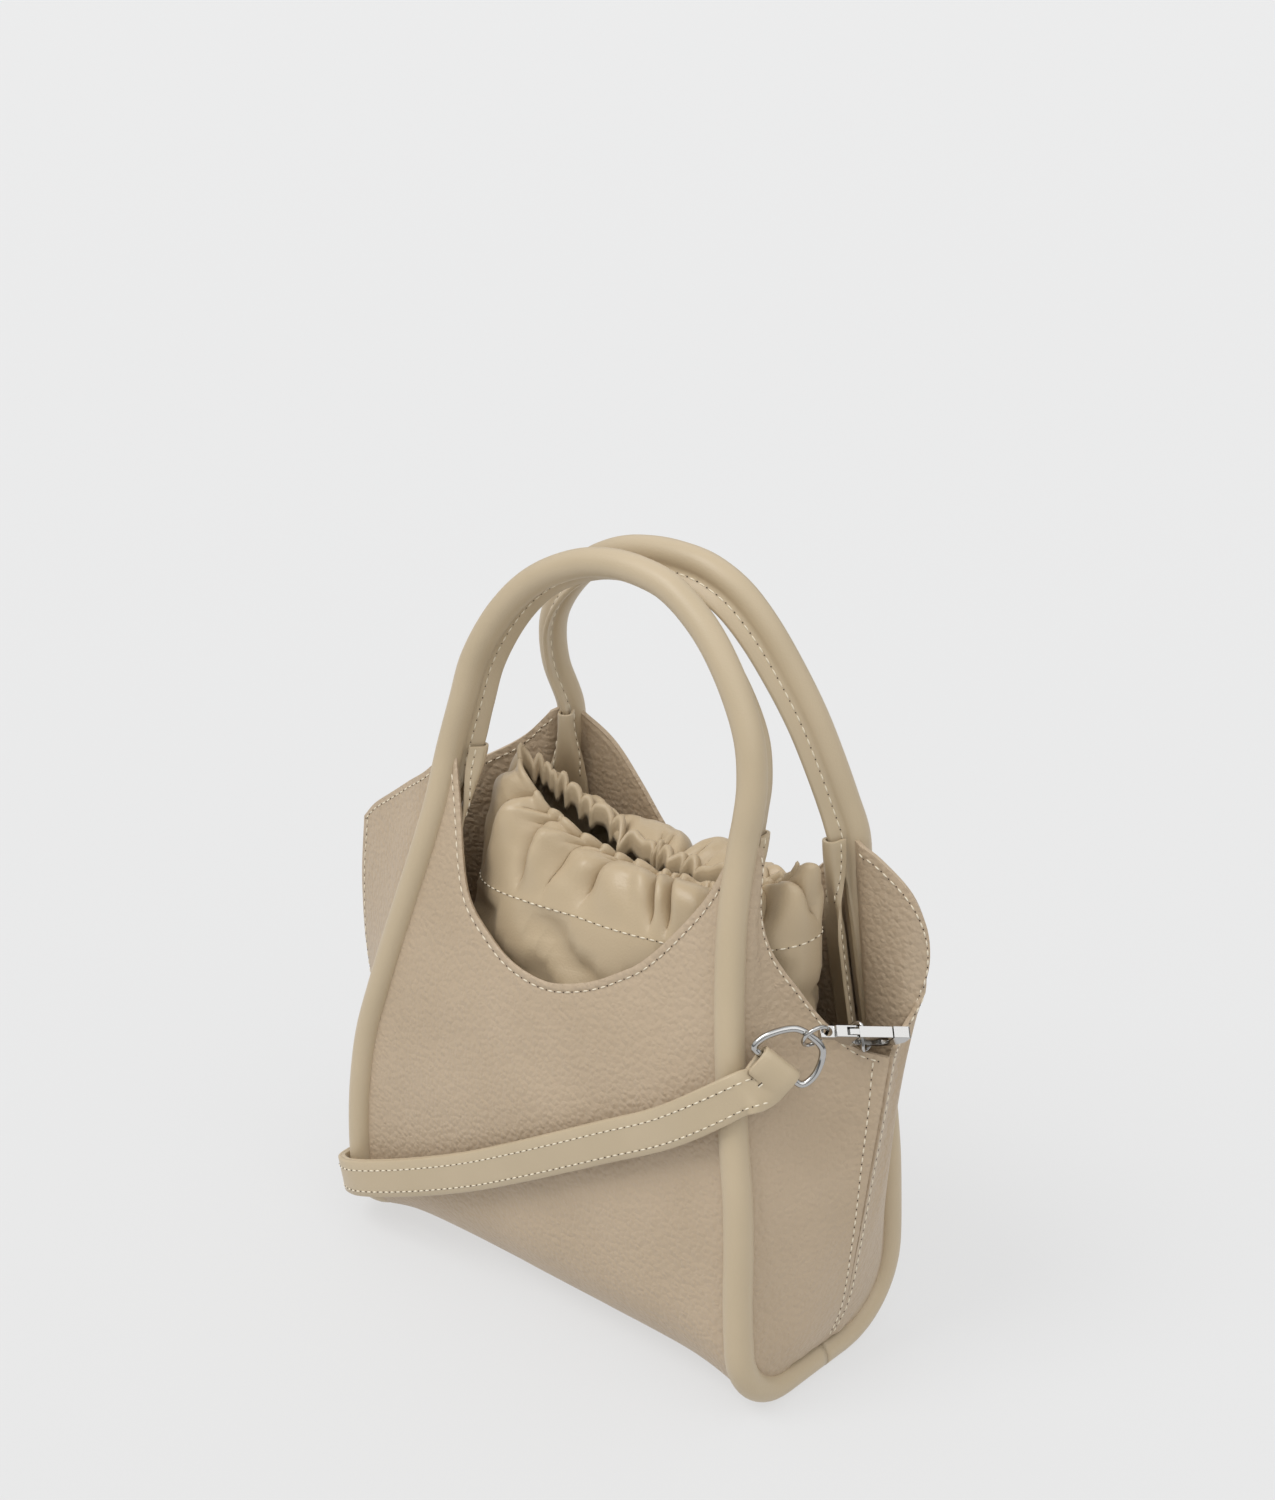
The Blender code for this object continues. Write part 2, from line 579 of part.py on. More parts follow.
def build_link(word, end, apex, mat, collection):
    """Small ring that ties the strap ring to the clasp's eye; gives the eye's middle back."""
    facing = Vector(end["link"]).normalized()
    ahead = Vector(end["clasp"])
    ahead = (ahead - facing * ahead.dot(facing)).normalized()
    up = facing.cross(ahead)
    centre = apex + ahead * 1.42
    turn = [2 * math.pi * k / 18 for k in range(18)]
    points = [centre + (ahead * math.cos(a) + up * math.sin(a)) * LINK_R for a in turn]
    wire(f"link_ring_{word}", points, LINK_WIRE, mat, collection, sides=6)
    return centre + ahead * LINK_R


def clasp_frame(end, eye):
    ahead = Vector(end["clasp"]).normalized()
    high = Vector(end["high"])
    high = (high - ahead * high.dot(ahead)).normalized()
    return eye, ahead, high, high.cross(ahead)


def slab(name, frame, outline, half, mat, collection):
    """Flat outline (ahead, high) given a width to both sides."""
    at, ahead, high, beside = frame
    rings = [[at + ahead * a + high * b + beside * w for a, b in outline] for w in (-half, half)]
    return sweep(name, rings, mat, collection)


def post(name, frame, place, way, radius, half, mat, collection):
    """Round bar through a place of the clasp's frame; way 2 is upwards, 3 is sideways."""
    at, ahead, high, _ = frame
    along_way = frame[way]
    middle = at + ahead * place[0] + high * place[1]
    rings = []
    for end in (-half, half):
        turn = [2 * math.pi * k / 12 for k in range(12)]
        round_way = along_way.cross(ahead)
        rings.append([middle + along_way * end + (ahead * math.cos(a) + round_way * math.sin(a)) * radius for a in turn])
    return sweep(name, rings, mat, collection)


def combine(obj, other, operation, cutters):
    """Boolean with a helper that is kept in the collection of cutters."""
    step = obj.modifiers.new(operation.lower(), "BOOLEAN")
    step.operation = operation
    step.solver = "EXACT"
    step.object = other
    other.hide_render = True
    other.display_type = "WIRE"
    for home in list(other.users_collection):
        home.objects.unlink(other)
    cutters.objects.link(other)


def build_clasp(word, end, eye, mat, collection, cutters):
    """Snap clasp: eye, hinge block and hook in one piece, and the gate that closes the hook."""
    frame = clasp_frame(end, eye)
    nose = CLASP_LONG
    outline = [(-2.6, -1.4), (3.0, -1.4), (5.0, -3.6), (7.5, -6.4), (11.0, -8.2), (nose - 7.0, -8.2),
               (nose - 2.3, -6.6), (nose, -3.2), (nose, 1.8), (nose - 0.6, 2.2), (nose - 6.0, 2.2),
               (nose - 6.0, -4.4), (nose - 7.2, -6.2), (12.5, -6.2), (10.6, -4.8), (10.6, 1.9), (9.9, 2.4),
               (2.8, 2.4), (2.2, 1.4), (-2.6, 1.4)]
    name = f"clasp_{word}"
    body = slab(name, frame, outline, CLASP_HALF, mat, collection)
    hole = post(f"{name}_eye_cut", frame, (0.0, 0.0), 2, 1.6, 6.0, mat, collection)
    combine(body, hole, "DIFFERENCE", cutters)
    a, b = CLASP_PIVOT
    if not end["lever"]:
        gate = slab(f"{name}_gate", frame, [(8.0, -1.3), (nose - 5.0, -1.3), (nose - 5.0, 1.9), (8.0, 1.9)],
                    CLASP_HALF * 0.9, mat, collection)
        combine(body, gate, "UNION", cutters)
        return frame, None
    slot = slab(f"{name}_slot_cut", frame, [(6.6, -2.1), (12.0, -2.1), (12.0, 4.0), (6.6, 4.0)], 1.35, mat,
                collection)
    combine(body, slot, "DIFFERENCE", cutters)
    pin = post(f"{name}_pin", frame, CLASP_PIVOT, 3, 0.6, CLASP_HALF - 0.4, mat, collection)
    combine(body, pin, "UNION", cutters)
    arc = [(a - 1.6 * math.sin(t), b + 1.6 * math.cos(t)) for t in [math.pi * k / 6 for k in range(7)]]
    lever = slab(f"lever_{word}", frame, [(nose - 6.4, 1.9), *arc, (nose - 6.4, -1.3)], 1.0, mat, collection)
    wide = slab(f"lever_{word}_plate", frame, [(11.1, -1.2), (nose - 6.4, -1.2), (nose - 6.4, 2.0), (11.1, 2.0)],
                CLASP_HALF * 0.95, mat, collection)
    combine(lever, wide, "UNION", cutters)
    bore = post(f"lever_{word}_bore", frame, CLASP_PIVOT, 3, 0.95, 4.0, mat, collection)
    combine(lever, bore, "DIFFERENCE", cutters)
    return frame, lever


def build_loop(word, end, frame, mat, leather, collection):
    """Wire loop from the clasp's hook to its leather tab, and the tab itself."""
    at, ahead, high, beside = frame
    hook, foot = at + ahead * 14.6 - high * 4.6, Vector(end["loop"])
    side = Vector(end["wire"]).normalized()
    beside = beside * math.copysign(1.0, beside.dot(side))
    long_way = foot - hook
    reach = long_way.length / 2
    down = long_way.normalized()
    middle = (hook + foot) / 2
    points = []
    for k in range(20):
        a = 2 * math.pi * (k + 0.5) / 20
        c, s = math.cos(a), math.sin(a)
        far = math.copysign(abs(c) ** 0.40, c)
        across = blend(beside, side, (far + 1) / 2)
        across = (across - down * across.dot(down)).normalized()
        points.append(middle + down * reach * far + across * LOOP_HALF * math.copysign(abs(s) ** 0.40, s))
    wire(f"gusset_loop_{word}", points, LOOP_WIRE, mat, collection, sides=6)
    leg = (Vector(end["tab"]) - foot)
    leg_way = leg.normalized()
    apart = side.cross(leg_way).normalized()
    turn = LOOP_WIRE + GAP + TAB_T / 2 + 0.3
    close = TAB_T / 2 + GAP / 2
    outline = [(leg.length, -close), (5.0, -close), (2.0, -turn * 0.85), (0.0, -turn)]
    outline += [(-turn * math.sin(a), -turn * math.cos(a)) for a in [math.pi * k / 6 for k in range(1, 6)]]
    outline += [(0.0, turn), (2.0, turn * 0.85), (5.0, close), (leg.length, close)]
    rows = [[foot + leg_way * u + apart * v + side * w * TAB_W / 2 for w in (-1, 1)] for u, v in outline]
    sheet(f"gusset_tab_{word}", rows, TAB_T, leather, collection)


def main():
    clear_scene()
    bag = bpy.data.collections.new("mini_tote_bag")
    cutters = bpy.data.collections.new("cutters")
    bpy.context.scene.collection.children.link(bag)
    bpy.context.scene.collection.children.link(cutters)
    cutters.hide_render = True
    shell = material("shell leather", (0.48, 0.375, 0.28), 0.55)
    smooth = material("smooth leather", (0.52, 0.43, 0.31), 0.45)
    soft = material("pouch leather", (0.46, 0.37, 0.265), 0.5)
    chrome = material("chrome", (0.78, 0.78, 0.8), 0.1, 1.0)
    build_wrap(shell, bag)
    for side, word in ((1, "right"), (-1, "left")):
        for face, half in ((-1, "front"), (1, "back")):
            build_gusset(f"gusset_{word}_{half}", side, face, shell, bag)
            build_binding(f"binding_{half}_{word}", side, face, smooth, bag)
        end = ENDS[word]
        apex = build_strap_ring(word, end, chrome, bag)
        eye = build_link(word, end, apex, chrome, bag)
        frame, lever = build_clasp(word, end, eye, chrome, bag, cutters)
        build_loop(word, end, frame, chrome, smooth, bag)
        if lever:
            at, ahead, high, _ = frame
            pivot = (at + ahead * CLASP_PIVOT[0] + high * CLASP_PIVOT[1]) * MM
            lever.data.transform(Matrix.Translation(-pivot))
            lever.location = pivot
    build_handle("handle_front", -1, smooth, bag)
    build_handle("handle_back", 1, smooth, bag)
    build_pouch(soft, bag)
    build_strap(smooth, bag)


main()
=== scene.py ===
# %% [markdown]
# # Mini tote bag
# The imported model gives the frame: where each piece sits, its real size and the one moving part. This
# lesson dresses it: fine leather surfaces, gathers, stitches, polished fittings, light and camera.

# %% Load the frame
import math

import bmesh
import bpy
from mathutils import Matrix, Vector, noise


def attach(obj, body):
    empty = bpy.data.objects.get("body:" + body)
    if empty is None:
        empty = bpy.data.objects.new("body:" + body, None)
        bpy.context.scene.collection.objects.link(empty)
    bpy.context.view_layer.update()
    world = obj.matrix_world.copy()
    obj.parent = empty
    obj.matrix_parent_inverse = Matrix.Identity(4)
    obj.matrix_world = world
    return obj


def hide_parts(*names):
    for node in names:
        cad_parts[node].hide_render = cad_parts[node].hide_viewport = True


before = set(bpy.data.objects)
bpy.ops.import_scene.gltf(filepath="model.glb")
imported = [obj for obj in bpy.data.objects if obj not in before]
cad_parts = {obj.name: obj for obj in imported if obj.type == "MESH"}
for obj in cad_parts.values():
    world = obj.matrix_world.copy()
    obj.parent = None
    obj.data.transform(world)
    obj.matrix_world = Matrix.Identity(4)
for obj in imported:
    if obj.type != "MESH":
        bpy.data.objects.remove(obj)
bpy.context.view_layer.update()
MM = 0.001

# %% [markdown]
# ## Sizes and the rules of the shape
# The shell follows a few curves: how far each corner leans in, how deep each top edge is scooped, how
# the two handle arches rise. They are the same values as the solids', so the fine surfaces lie on them.

# %% Sizes in millimetres
BASE_HALF_W = 96.0
BASE_HALF_D = 42.0
PEAK_H = 200.0
FRONT_LEAN = 26.0
BACK_LEAN = 9.0
FRONT_CORNER_R = 21.0
BACK_CORNER_R = 29.0
FRONT_FOOT_R = 32.0
HANDLE_RISE = 82.0
TUBE_R = 5.2
FLANGE_REACH = 11.5
FLANGE_T = 1.9
WALL = 1.6
LINER_WALL = 1.3
BINDING_T = 1.1
BINDING_DROP = 78.0
STRAP_W = 15.0
STRAP_T = 3.0
GAP = 0.3
CASING_Z = 157.0
MOUTH_Z = 184.0
D_HALF = 9.8
D_REACH = 15.0
D_WIRE = 1.25
LINK_R = 4.6
LINK_WIRE = 0.75
LOOP_WIRE = 0.65
LOOP_HALF = 5.0
ON_TOP = 0.05           # how far a stitch stands off the leather's surface
SCOOP_PITCH = 4.1       # stitch lengths, counted in the photograph
GUSSET_PITCH = 3.6
HANDLE_PITCH = 4.4
BINDING_PITCH = 3.8
CASING_PITCH = 4.0
STRAP_PITCH = 3.45
TACK_PITCH = 0.9

CORNERS = {
    (1, -1): dict(base=0.965, peak=0.730, high=1.012, turn=6.0),
    (-1, -1): dict(base=1.010, peak=0.705, high=1.004, turn=42.0),
    (1, 1): dict(base=0.990, peak=0.838, high=0.967, turn=12.0),
    (-1, 1): dict(base=1.010, peak=0.540, high=1.040, turn=32.0),
}
LEAN = [(0.0, 0.0), (0.25, 0.01), (0.4, 0.11), (0.5, 0.28), (0.65, 0.56), (0.78, 0.79), (0.9, 0.95),
        (1.0, 1.0)]
FRONT_SCOOP = [(-1.0, 1.0), (-0.89, 0.915), (-0.78, 0.836), (-0.69, 0.783), (-0.6, 0.748), (-0.47, 0.717),
               (-0.33, 0.69), (-0.17, 0.675), (-0.02, 0.673), (0.12, 0.686), (0.26, 0.707), (0.4, 0.737),
               (0.53, 0.769), (0.74, 0.845), (0.915, 0.922), (1.0, 0.985)]
BACK_SCOOP = [(-1.0, 1.035), (-0.72, 0.99), (-0.46, 0.908), (-0.25, 0.832), (-0.05, 0.785), (0.2, 0.765),
              (0.45, 0.785), (0.66, 0.838), (0.84, 0.892), (1.0, 0.962)]
FRONT_ARCH = [(-0.665, 0.24), (-0.631, 0.43), (-0.547, 0.625), (-0.443, 0.773), (-0.325, 0.878), (-0.163, 0.963),
              (-0.022, 0.996), (0.12, 0.996), (0.265, 0.961), (0.416, 0.861), (0.533, 0.737), (0.636, 0.582),
              (0.702, 0.438), (0.734, 0.284), (0.738, 0.16)]
BACK_ARCH = [(-0.581, 0.316), (-0.563, 0.521), (-0.477, 0.691), (-0.324, 0.861), (-0.161, 0.959), (-0.01, 1.001),
             (0.133, 1.01), (0.271, 0.99), (0.4, 0.916), (0.501, 0.794), (0.598, 0.624), (0.68, 0.446),
             (0.738, 0.277), (0.797, 0.07)]
RIGHT_SEAM = [(1.025, 3.0, 12.0), (1.085, 4.0, 29.0), (1.125, 4.0, 52.0), (1.157, 5.0, 77.0), (1.19, 7.0, 106.0),
              (1.21, 9.0, 130.0)]
LEFT_SEAM = [(1.03, 1.0, 12.0), (1.14, -1.0, 30.0), (1.26, -4.0, 58.0), (1.33, -6.0, 92.0), (1.345, -6.0, 125.0),
             (1.315, -6.0, 154.0)]
TOP_EDGES = {
    (1, -1): [(75.6, -12.6, 182.0), (79.7, -11.2, 166.1), (88.4, -6.0, 151.6), (96.5, -1.2, 140.0),
              (106.0, 3.8, 132.2)],
    (1, 1): [(94.0, 29.5, 189.3), (106.0, 33.0, 177.5), (111.0, 36.5, 161.0), (111.0, 34.0, 144.0),
             (109.5, 24.0, 131.0)],
    (-1, -1): [(84.0, -11.5, 186.5), (97.0, -9.5, 177.5), (109.0, -8.0, 169.0), (119.0, -7.0, 161.5)],
    (-1, 1): [(68.0, 23.0, 194.0), (83.0, 15.0, 183.5), (99.0, 7.0, 173.5), (114.0, 0.0, 163.5)],
}
GUSSET_BULGE = 3.0
STRAP = [
    ((90.0, -38.8, 126.5), (-0.62, -0.38, 0.68)),
    ((82.0, -43.6, 120.5), (-0.63, -0.15, 0.76)),
    ((71.0, -45.6, 112.0), (-0.58, 0.0, 0.81)),
    ((58.0, -46.2, 103.0), (-0.55, 0.0, 0.835)),
    ((38.0, -47.6, 91.5), (-0.50, 0.0, 0.866)),
    ((16.0, -48.8, 78.5), (-0.49, 0.0, 0.87)),
    ((-6.0, -49.2, 65.5), (-0.47, 0.0, 0.883)),
    ((-28.0, -49.4, 53.0), (-0.43, 0.0, 0.90)),
    ((-50.0, -49.8, 42.0), (-0.38, 0.0, 0.925)),
    ((-72.0, -50.6, 32.2), (-0.33, -0.02, 0.944)),
    ((-92.0, -51.0, 24.5), (-0.25, -0.04, 0.968)),
    ((-102.0, -47.0, 21.0), (-0.15, -0.06, 0.985)),
    ((-106.2, -38.0, 19.0), (-0.05, 0.0, 1.0)),
    ((-109.0, -22.0, 16.5), (0.0, 0.05, 1.0)),
    ((-115.0, -4.0, 14.0), (0.0, 0.15, 0.99)),
    ((-123.0, 12.0, 16.0), (0.1, 0.45, 0.90)),
    ((-130.5, 22.0, 26.0), (0.25, 0.80, 0.60)),
    ((-134.5, 25.0, 42.0), (0.45, 0.85, 0.20)),
    ((-134.6, 19.5, 59.0), (0.65, 0.75, 0.0)),
    ((-132.2, 14.0, 74.0), (0.75, 0.66, 0.0)),
]
ENDS = {
    "right": dict(bar=(95.2, -26.3, 133.3), along=(0.588, 0.486, -0.644), out=(0.343, 0.572, 0.745), lean=0.16,
                  link=(0.80, -0.26, -0.42), clasp=(0.556, 0.816, -0.150), high=(0.5, -0.5, 0.7),
                  loop=(103.2, 7.6, 134.4), wire=(0.89, 0.45, -0.15)),
    "left": dict(bar=(-129.8, 9.6, 91.5), along=(0.79, 0.61, 0.0), out=(0.0, 0.0, 1.0), lean=0.0,
                 link=(0.79, 0.61, 0.0), clasp=(0.0, 0.0, 1.0), high=(-0.61, 0.79, 0.0),
                 loop=(-123.8, 1.8, 144.0), wire=(0.79, 0.61, 0.0)),
}
print("corners:", len(CORNERS), "strap rows:", len(STRAP))

# %% [markdown]
# ## Smooth curves through a few points
# Every outline of the bag is given by a few measured points. A cubic through them gives any place on it, so
# the fine surfaces can have as many points as they need.

# %% Curve helpers


def along(rows, t):
    """Smooth curve through rows of numbers, whose first column is the place."""
    if t <= rows[0][0]:
        return list(rows[0][1:])
    if t >= rows[-1][0]:
        return list(rows[-1][1:])
    i = max(k for k in range(len(rows) - 1) if rows[k][0] <= t)
    a, b = rows[i], rows[i + 1]
    before, after = rows[max(i - 1, 0)], rows[min(i + 2, len(rows) - 1)]
    step = b[0] - a[0]
    f = (t - a[0]) / step
    out = []
    for k in range(1, len(a)):
        m0 = (b[k] - before[k]) / (b[0] - before[0]) * step
        m1 = (after[k] - a[k]) / (after[0] - a[0]) * step
        out.append((2 * f**3 - 3 * f**2 + 1) * a[k] + (f**3 - 2 * f**2 + f) * m0
                   + (3 * f**2 - 2 * f**3) * b[k] + (f**3 - f**2) * m1)
    return out


def path(points):
    """Rows for along(), placed by length from 0 to 1."""
    total, rows = 0.0, [(0.0, *points[0])]
    for a, b in zip(points, points[1:]):
        total += math.dist(a[:3], b[:3])
        rows.append((total, *b))
    return [(row[0] / total, *row[1:]) for row in rows]


def blend(a, b, t):
    """Value part of the way from a to b."""
    return a + (b - a) * t


def ease(t):
    """0 to 1 with a soft start and end."""
    t = min(max(t, 0.0), 1.0)
    return t * t * (3 - 2 * t)


def tangents(points, loop=False):
    """Way ahead at each point of a line."""
    out = []
    for i in range(len(points)):
        a = points[i - 1] if i or loop else points[i]
        b = points[(i + 1) % len(points)] if i < len(points) - 1 or loop else points[i]
        out.append((b - a).normalized())
    return out


print("half way along the front scoop:", along(FRONT_SCOOP, 0.0))

# %% [markdown]
# ## Leather, thread and metal
# Full-grain leather shows three things: a grain of fine cells that catches light, slow changes of tone
# where the hide is thicker, and a soft sheen. A cell pattern drives the bump and a wide noise the tone.
# The shell is embossed with coarser pebbles, the rolled handles are smooth, the pouch is thin and supple.

# %% Materials


def linear(code):
    """sRGB hex colour to linear light."""
    parts = [int(code[k:k + 2], 16) / 255 for k in (1, 3, 5)]
    return tuple(c / 12.92 if c <= 0.04045 else ((c + 0.055) / 1.055) ** 2.4 for c in parts) + (1.0,)


def socket_of(node, key):
    """Input socket by its name, or by its number where the key is i and a number."""
    if key[0] == "i" and key[1:].isdigit():
        return node.inputs[int(key[1:])]
    return node.inputs[key.replace("_", " ")]


def add(tree, kind, settings=None, **inputs):
    """A node with its settings; an input is a value or another node's (node, output)."""
    made = tree.nodes.new(kind)
    for key, value in (settings or {}).items():
        setattr(made, key, value)
    for key, value in inputs.items():
        socket = socket_of(made, key)
        if isinstance(value, tuple) and len(value) == 2 and hasattr(value[0], "outputs"):
            tree.links.new(value[0].outputs[value[1]], socket)
        else:
            socket.default_value = value
    return made


def blank(name):
    """New material, its node tree and its shader."""
    mat = bpy.data.materials.new(name)
    mat.use_nodes = True
    return mat, mat.node_tree, mat.node_tree.nodes["Principled BSDF"]


def leather(name, light, dark, rough, grain, depth, sheen):
    """Leather with a cell grain of so many millimetres and a slow change of tone."""
    mat, tree, shader = blank(name)
    place = add(tree, "ShaderNodeTexCoord")
    wide = add(tree, "ShaderNodeTexNoise", Vector=(place, "Object"), Scale=26.0, Detail=3.0)
    tone = add(tree, "ShaderNodeMix", {"data_type": "RGBA"}, Factor=(wide, "Fac"), i6=linear(light),
               i7=linear(dark))
    warp = add(tree, "ShaderNodeTexNoise", Vector=(place, "Object"), Scale=0.6 / (grain * MM), Detail=2.0)
    shift = add(tree, "ShaderNodeVectorMath", {"operation": "MULTIPLY_ADD"}, i0=(warp, "Color"),
                i1=(grain * MM * 0.9,) * 3, i2=(place, "Object"))
    cells = add(tree, "ShaderNodeTexVoronoi", {"feature": "SMOOTH_F1"}, Vector=(shift, "Vector"),
                Scale=1.0 / (grain * MM), Smoothness=0.35)
    fine = add(tree, "ShaderNodeTexNoise", Vector=(place, "Object"), Scale=2.6 / (grain * MM), Detail=3.0)
    height = add(tree, "ShaderNodeMath", {"operation": "MULTIPLY_ADD"}, i0=(fine, "Fac"), i1=0.35,
                 i2=(cells, "Distance"))
    bump = add(tree, "ShaderNodeBump", {"invert": True}, Height=(height, "Value"), Distance=depth * MM,
               Strength=0.8)
    tree.links.new(tone.outputs[2], shader.inputs["Base Color"])
    tree.links.new(bump.outputs["Normal"], shader.inputs["Normal"])
    shader.inputs["Roughness"].default_value = rough
    shader.inputs["IOR"].default_value = 1.46
    shader.inputs["Sheen Weight"].default_value = sheen
    shader.inputs["Sheen Roughness"].default_value = 0.5
    return mat


# Drum-dyed leather embossed with pebbles of about 2 mm: soft broken highlights.
shell_leather = leather("pebbled_shell_leather", "#bda990", "#ae9a80", 0.46, 2.1, 0.58, 0.05)
# Smooth rolled leather, polished by the mould: a longer, cleaner highlight.
smooth_leather = leather("smooth_rolled_leather", "#c2b094", "#b5a487", 0.42, 0.8, 0.05, 0.05)
# Thin nappa: supple, slightly glossier on the folds.
pouch_leather = leather("thin_nappa_leather", "#c0ad8f", "#b09c7e", 0.38, 0.9, 0.07, 0.05)


def plain(name, code, rough, metal=0.0):
    """Material of one even colour, for what is too small or too smooth to show a pattern."""
    mat, _, shader = blank(name)
    shader.inputs["Base Color"].default_value = linear(code)
    shader.inputs["Roughness"].default_value = rough
    shader.inputs["Metallic"].default_value = metal
    return mat


# Polished nickel plate on zinc: a sharp mirror with a faint warm grey.
chrome = plain("polished_nickel_plate", "#b9b8b6", 0.12, 1.0)
# Waxed polyester thread, nearly white with a satin surface.
thread = plain("waxed_thread", "#e6dcc6", 0.5)
# The needle's hole, where light doesn't reach.
hole = plain("needle_hole_shade", "#3b2e22", 0.9)
print("materials:", [m.name for m in (shell_leather, smooth_leather, pouch_leather, chrome, thread, hole)])

# %% [markdown]
# ## Turning grids of points into leather
# Each panel is a grid of points worked out by rule, given its thickness by Solidify. It takes the place of
# the coarse solid in the picture, while the solid stays for collision, hidden.

# %% Mesh helpers


def mesh_object(name, points, faces, mat):
    """Smooth mesh from points in millimetres, its faces turned outward."""
    mesh = bpy.data.meshes.new(name)
    mesh.from_pydata([Vector(p) * MM for p in points], [], faces)
    grid = bmesh.new()
    grid.from_mesh(mesh)
    bmesh.ops.recalc_face_normals(grid, faces=grid.faces)
    grid.to_mesh(mesh)
    grid.free()
    mesh.materials.append(mat)
    mesh.polygons.foreach_set("use_smooth", [True] * len(mesh.polygons))
    obj = bpy.data.objects.new(name, mesh)
    bpy.context.scene.collection.objects.link(obj)
    return obj


def sheet(name, rows, thick, mat, ring=False):
    """Leather over a grid of points, with its thickness to both sides."""
    wide = len(rows[0])
    faces = []
    for i in range(len(rows) - 1):
        for j in range(wide if ring else wide - 1):
            k = (j + 1) % wide
            faces.append((i * wide + j, i * wide + k, (i + 1) * wide + k, (i + 1) * wide + j))
    obj = mesh_object(name, [p for row in rows for p in row], faces, mat)
    solid = obj.modifiers.new("thickness", "SOLIDIFY")
    solid.thickness = thick * MM
    solid.offset = 0.0
    solid.use_even_offset = True
    soft = obj.modifiers.new("worn edge", "BEVEL")
    soft.width = 0.3 * MM
    soft.segments = 2
    soft.limit_method = "ANGLE"
    soft.angle_limit = math.radians(60)
    return obj


def sweep(name, rings, mat, loop=False):
    """Solid through equal-sized rings of points."""
    wide = len(rings[0])
    faces = []
    for i in range(len(rings) if loop else len(rings) - 1):
        n = (i + 1) % len(rings)
        for j in range(wide):
            k = (j + 1) % wide
            faces.append((i * wide + j, i * wide + k, n * wide + k, n * wide + j))
    if not loop:
        faces.append(tuple(range(wide)))
        faces.append(tuple((len(rings) - 1) * wide + k for k in reversed(range(wide))))
    return mesh_object(name, [p for ring in rings for p in ring], faces, mat)


def dress(obj, node):
    """The piece stands for a CAD node and rides where that node rides."""
    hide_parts(node)
    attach(obj, "bag")
    return obj


ROWS = []   # rows of stitches: points, the way each faces, spacing


def stitch(points, faces_to, pitch):
    """Keeps one row for the sewing at the end."""
    ROWS.append(([Vector(p) for p in points], [Vector(w).normalized() for w in faces_to], pitch))


print("helpers ready")

# %% [markdown]
# ## Front panel, base and back panel
# One piece of leather wraps under the bag, held by the handle tubes at its sides. Its top edges are
# scooped, and the front one swings deeper. A grid follows the two tubes, so its edges stay on them.

# %% Shell panels


def corner_r(face):
    """Radius of the tubes' bend at the foot."""
    return FRONT_CORNER_R if face < 0 else BACK_CORNER_R


def tube_depth(face, z):
    """Depth of a tube's centre line at a height."""
    share = max(0.0, z - 25.0) / (PEAK_H - 25.0)
    if face < 0:
        return -BASE_HALF_D + FRONT_LEAN * share**2.0
    return BASE_HALF_D - BACK_LEAN * share**1.6


def tube_width(side, face, z):
    """Distance of a tube's centre line from the middle at a height."""
    corner = CORNERS[side, face]
    lean = along(LEAN, z / (PEAK_H * corner["high"]))[0]
    leant = blend(corner["base"], corner["peak"], lean)
    return side * BASE_HALF_W * blend(1.0, leant, ease(z / 45.0))


def scoop_top(face, u):
    return PEAK_H * along(FRONT_SCOOP if face < 0 else BACK_SCOOP, u)[0]


def panel_ends(face, z):
    """Left and right end of a panel, tucked under the tubes."""
    inset = TUBE_R * 0.8
    return tube_width(-1, face, z) + inset, tube_width(1, face, z) - inset


def slack(x, z):
    """Slow waves in the sunk leather, in millimetres."""
    broad = noise.noise(Vector((x / 42.0, 3.1, z / 34.0))) * 0.9
    return broad + noise.noise(Vector((x / 15.0, 8.0, z / 12.0))) * 0.18


def panel_point(face, u, z):
    left, right = panel_ends(face, z)
    swell = (1 - u * u) * 3.0 * math.sin(math.pi * min(z / PEAK_H, 1.0)) ** 2
    x = blend(left, right, (u + 1) / 2)
    y = tube_depth(face, z) + face * (0.4 + swell + slack(x, z) * (1 - abs(u) ** 4))
    return Vector((x, y, z))


# The turned edge: distance from the edge and how far the leather stands out, with a groove at the stitches.
TURNED = [(0.0, 0.0), (0.7, 0.3), (1.5, 0.25), (2.2, -0.2), (2.7, -0.2), (3.5, 0.0), (5.0, 0.0)]


def panel_column(face, u, up=46, turn=12):
    """Points from the scooped edge down to the base."""
    r = corner_r(face)
    if face < 0:
        r = blend(FRONT_CORNER_R, FRONT_FOOT_R, 1 - abs(u) ** 6)
    low = TUBE_R + r
    top = scoop_top(face, u)
    left, right = panel_ends(face, top)
    slope = (scoop_top(face, u + 0.01) - scoop_top(face, u - 0.01)) / (0.01 * (right - left))
    steep = min(math.hypot(1.0, slope), 3.0)
    points = [panel_point(face, u, top - d * steep) + Vector((0, face * out, 0)) for d, out in TURNED]
    start = top - TURNED[-1][0] * steep
    points += [panel_point(face, u, blend(start, low, k / up)) for k in range(1, up + 1)]
    x, base_y = points[-1].x, abs(points[-1].y)
    for k in range(1, turn + 1):
        a = math.pi / 2 * k / turn
        y = face * (BASE_HALF_D - r + (base_y - BASE_HALF_D + r) * math.cos(a))
        points.append(Vector((x, y, low - (low - WALL / 2) * math.sin(a))))
    return points


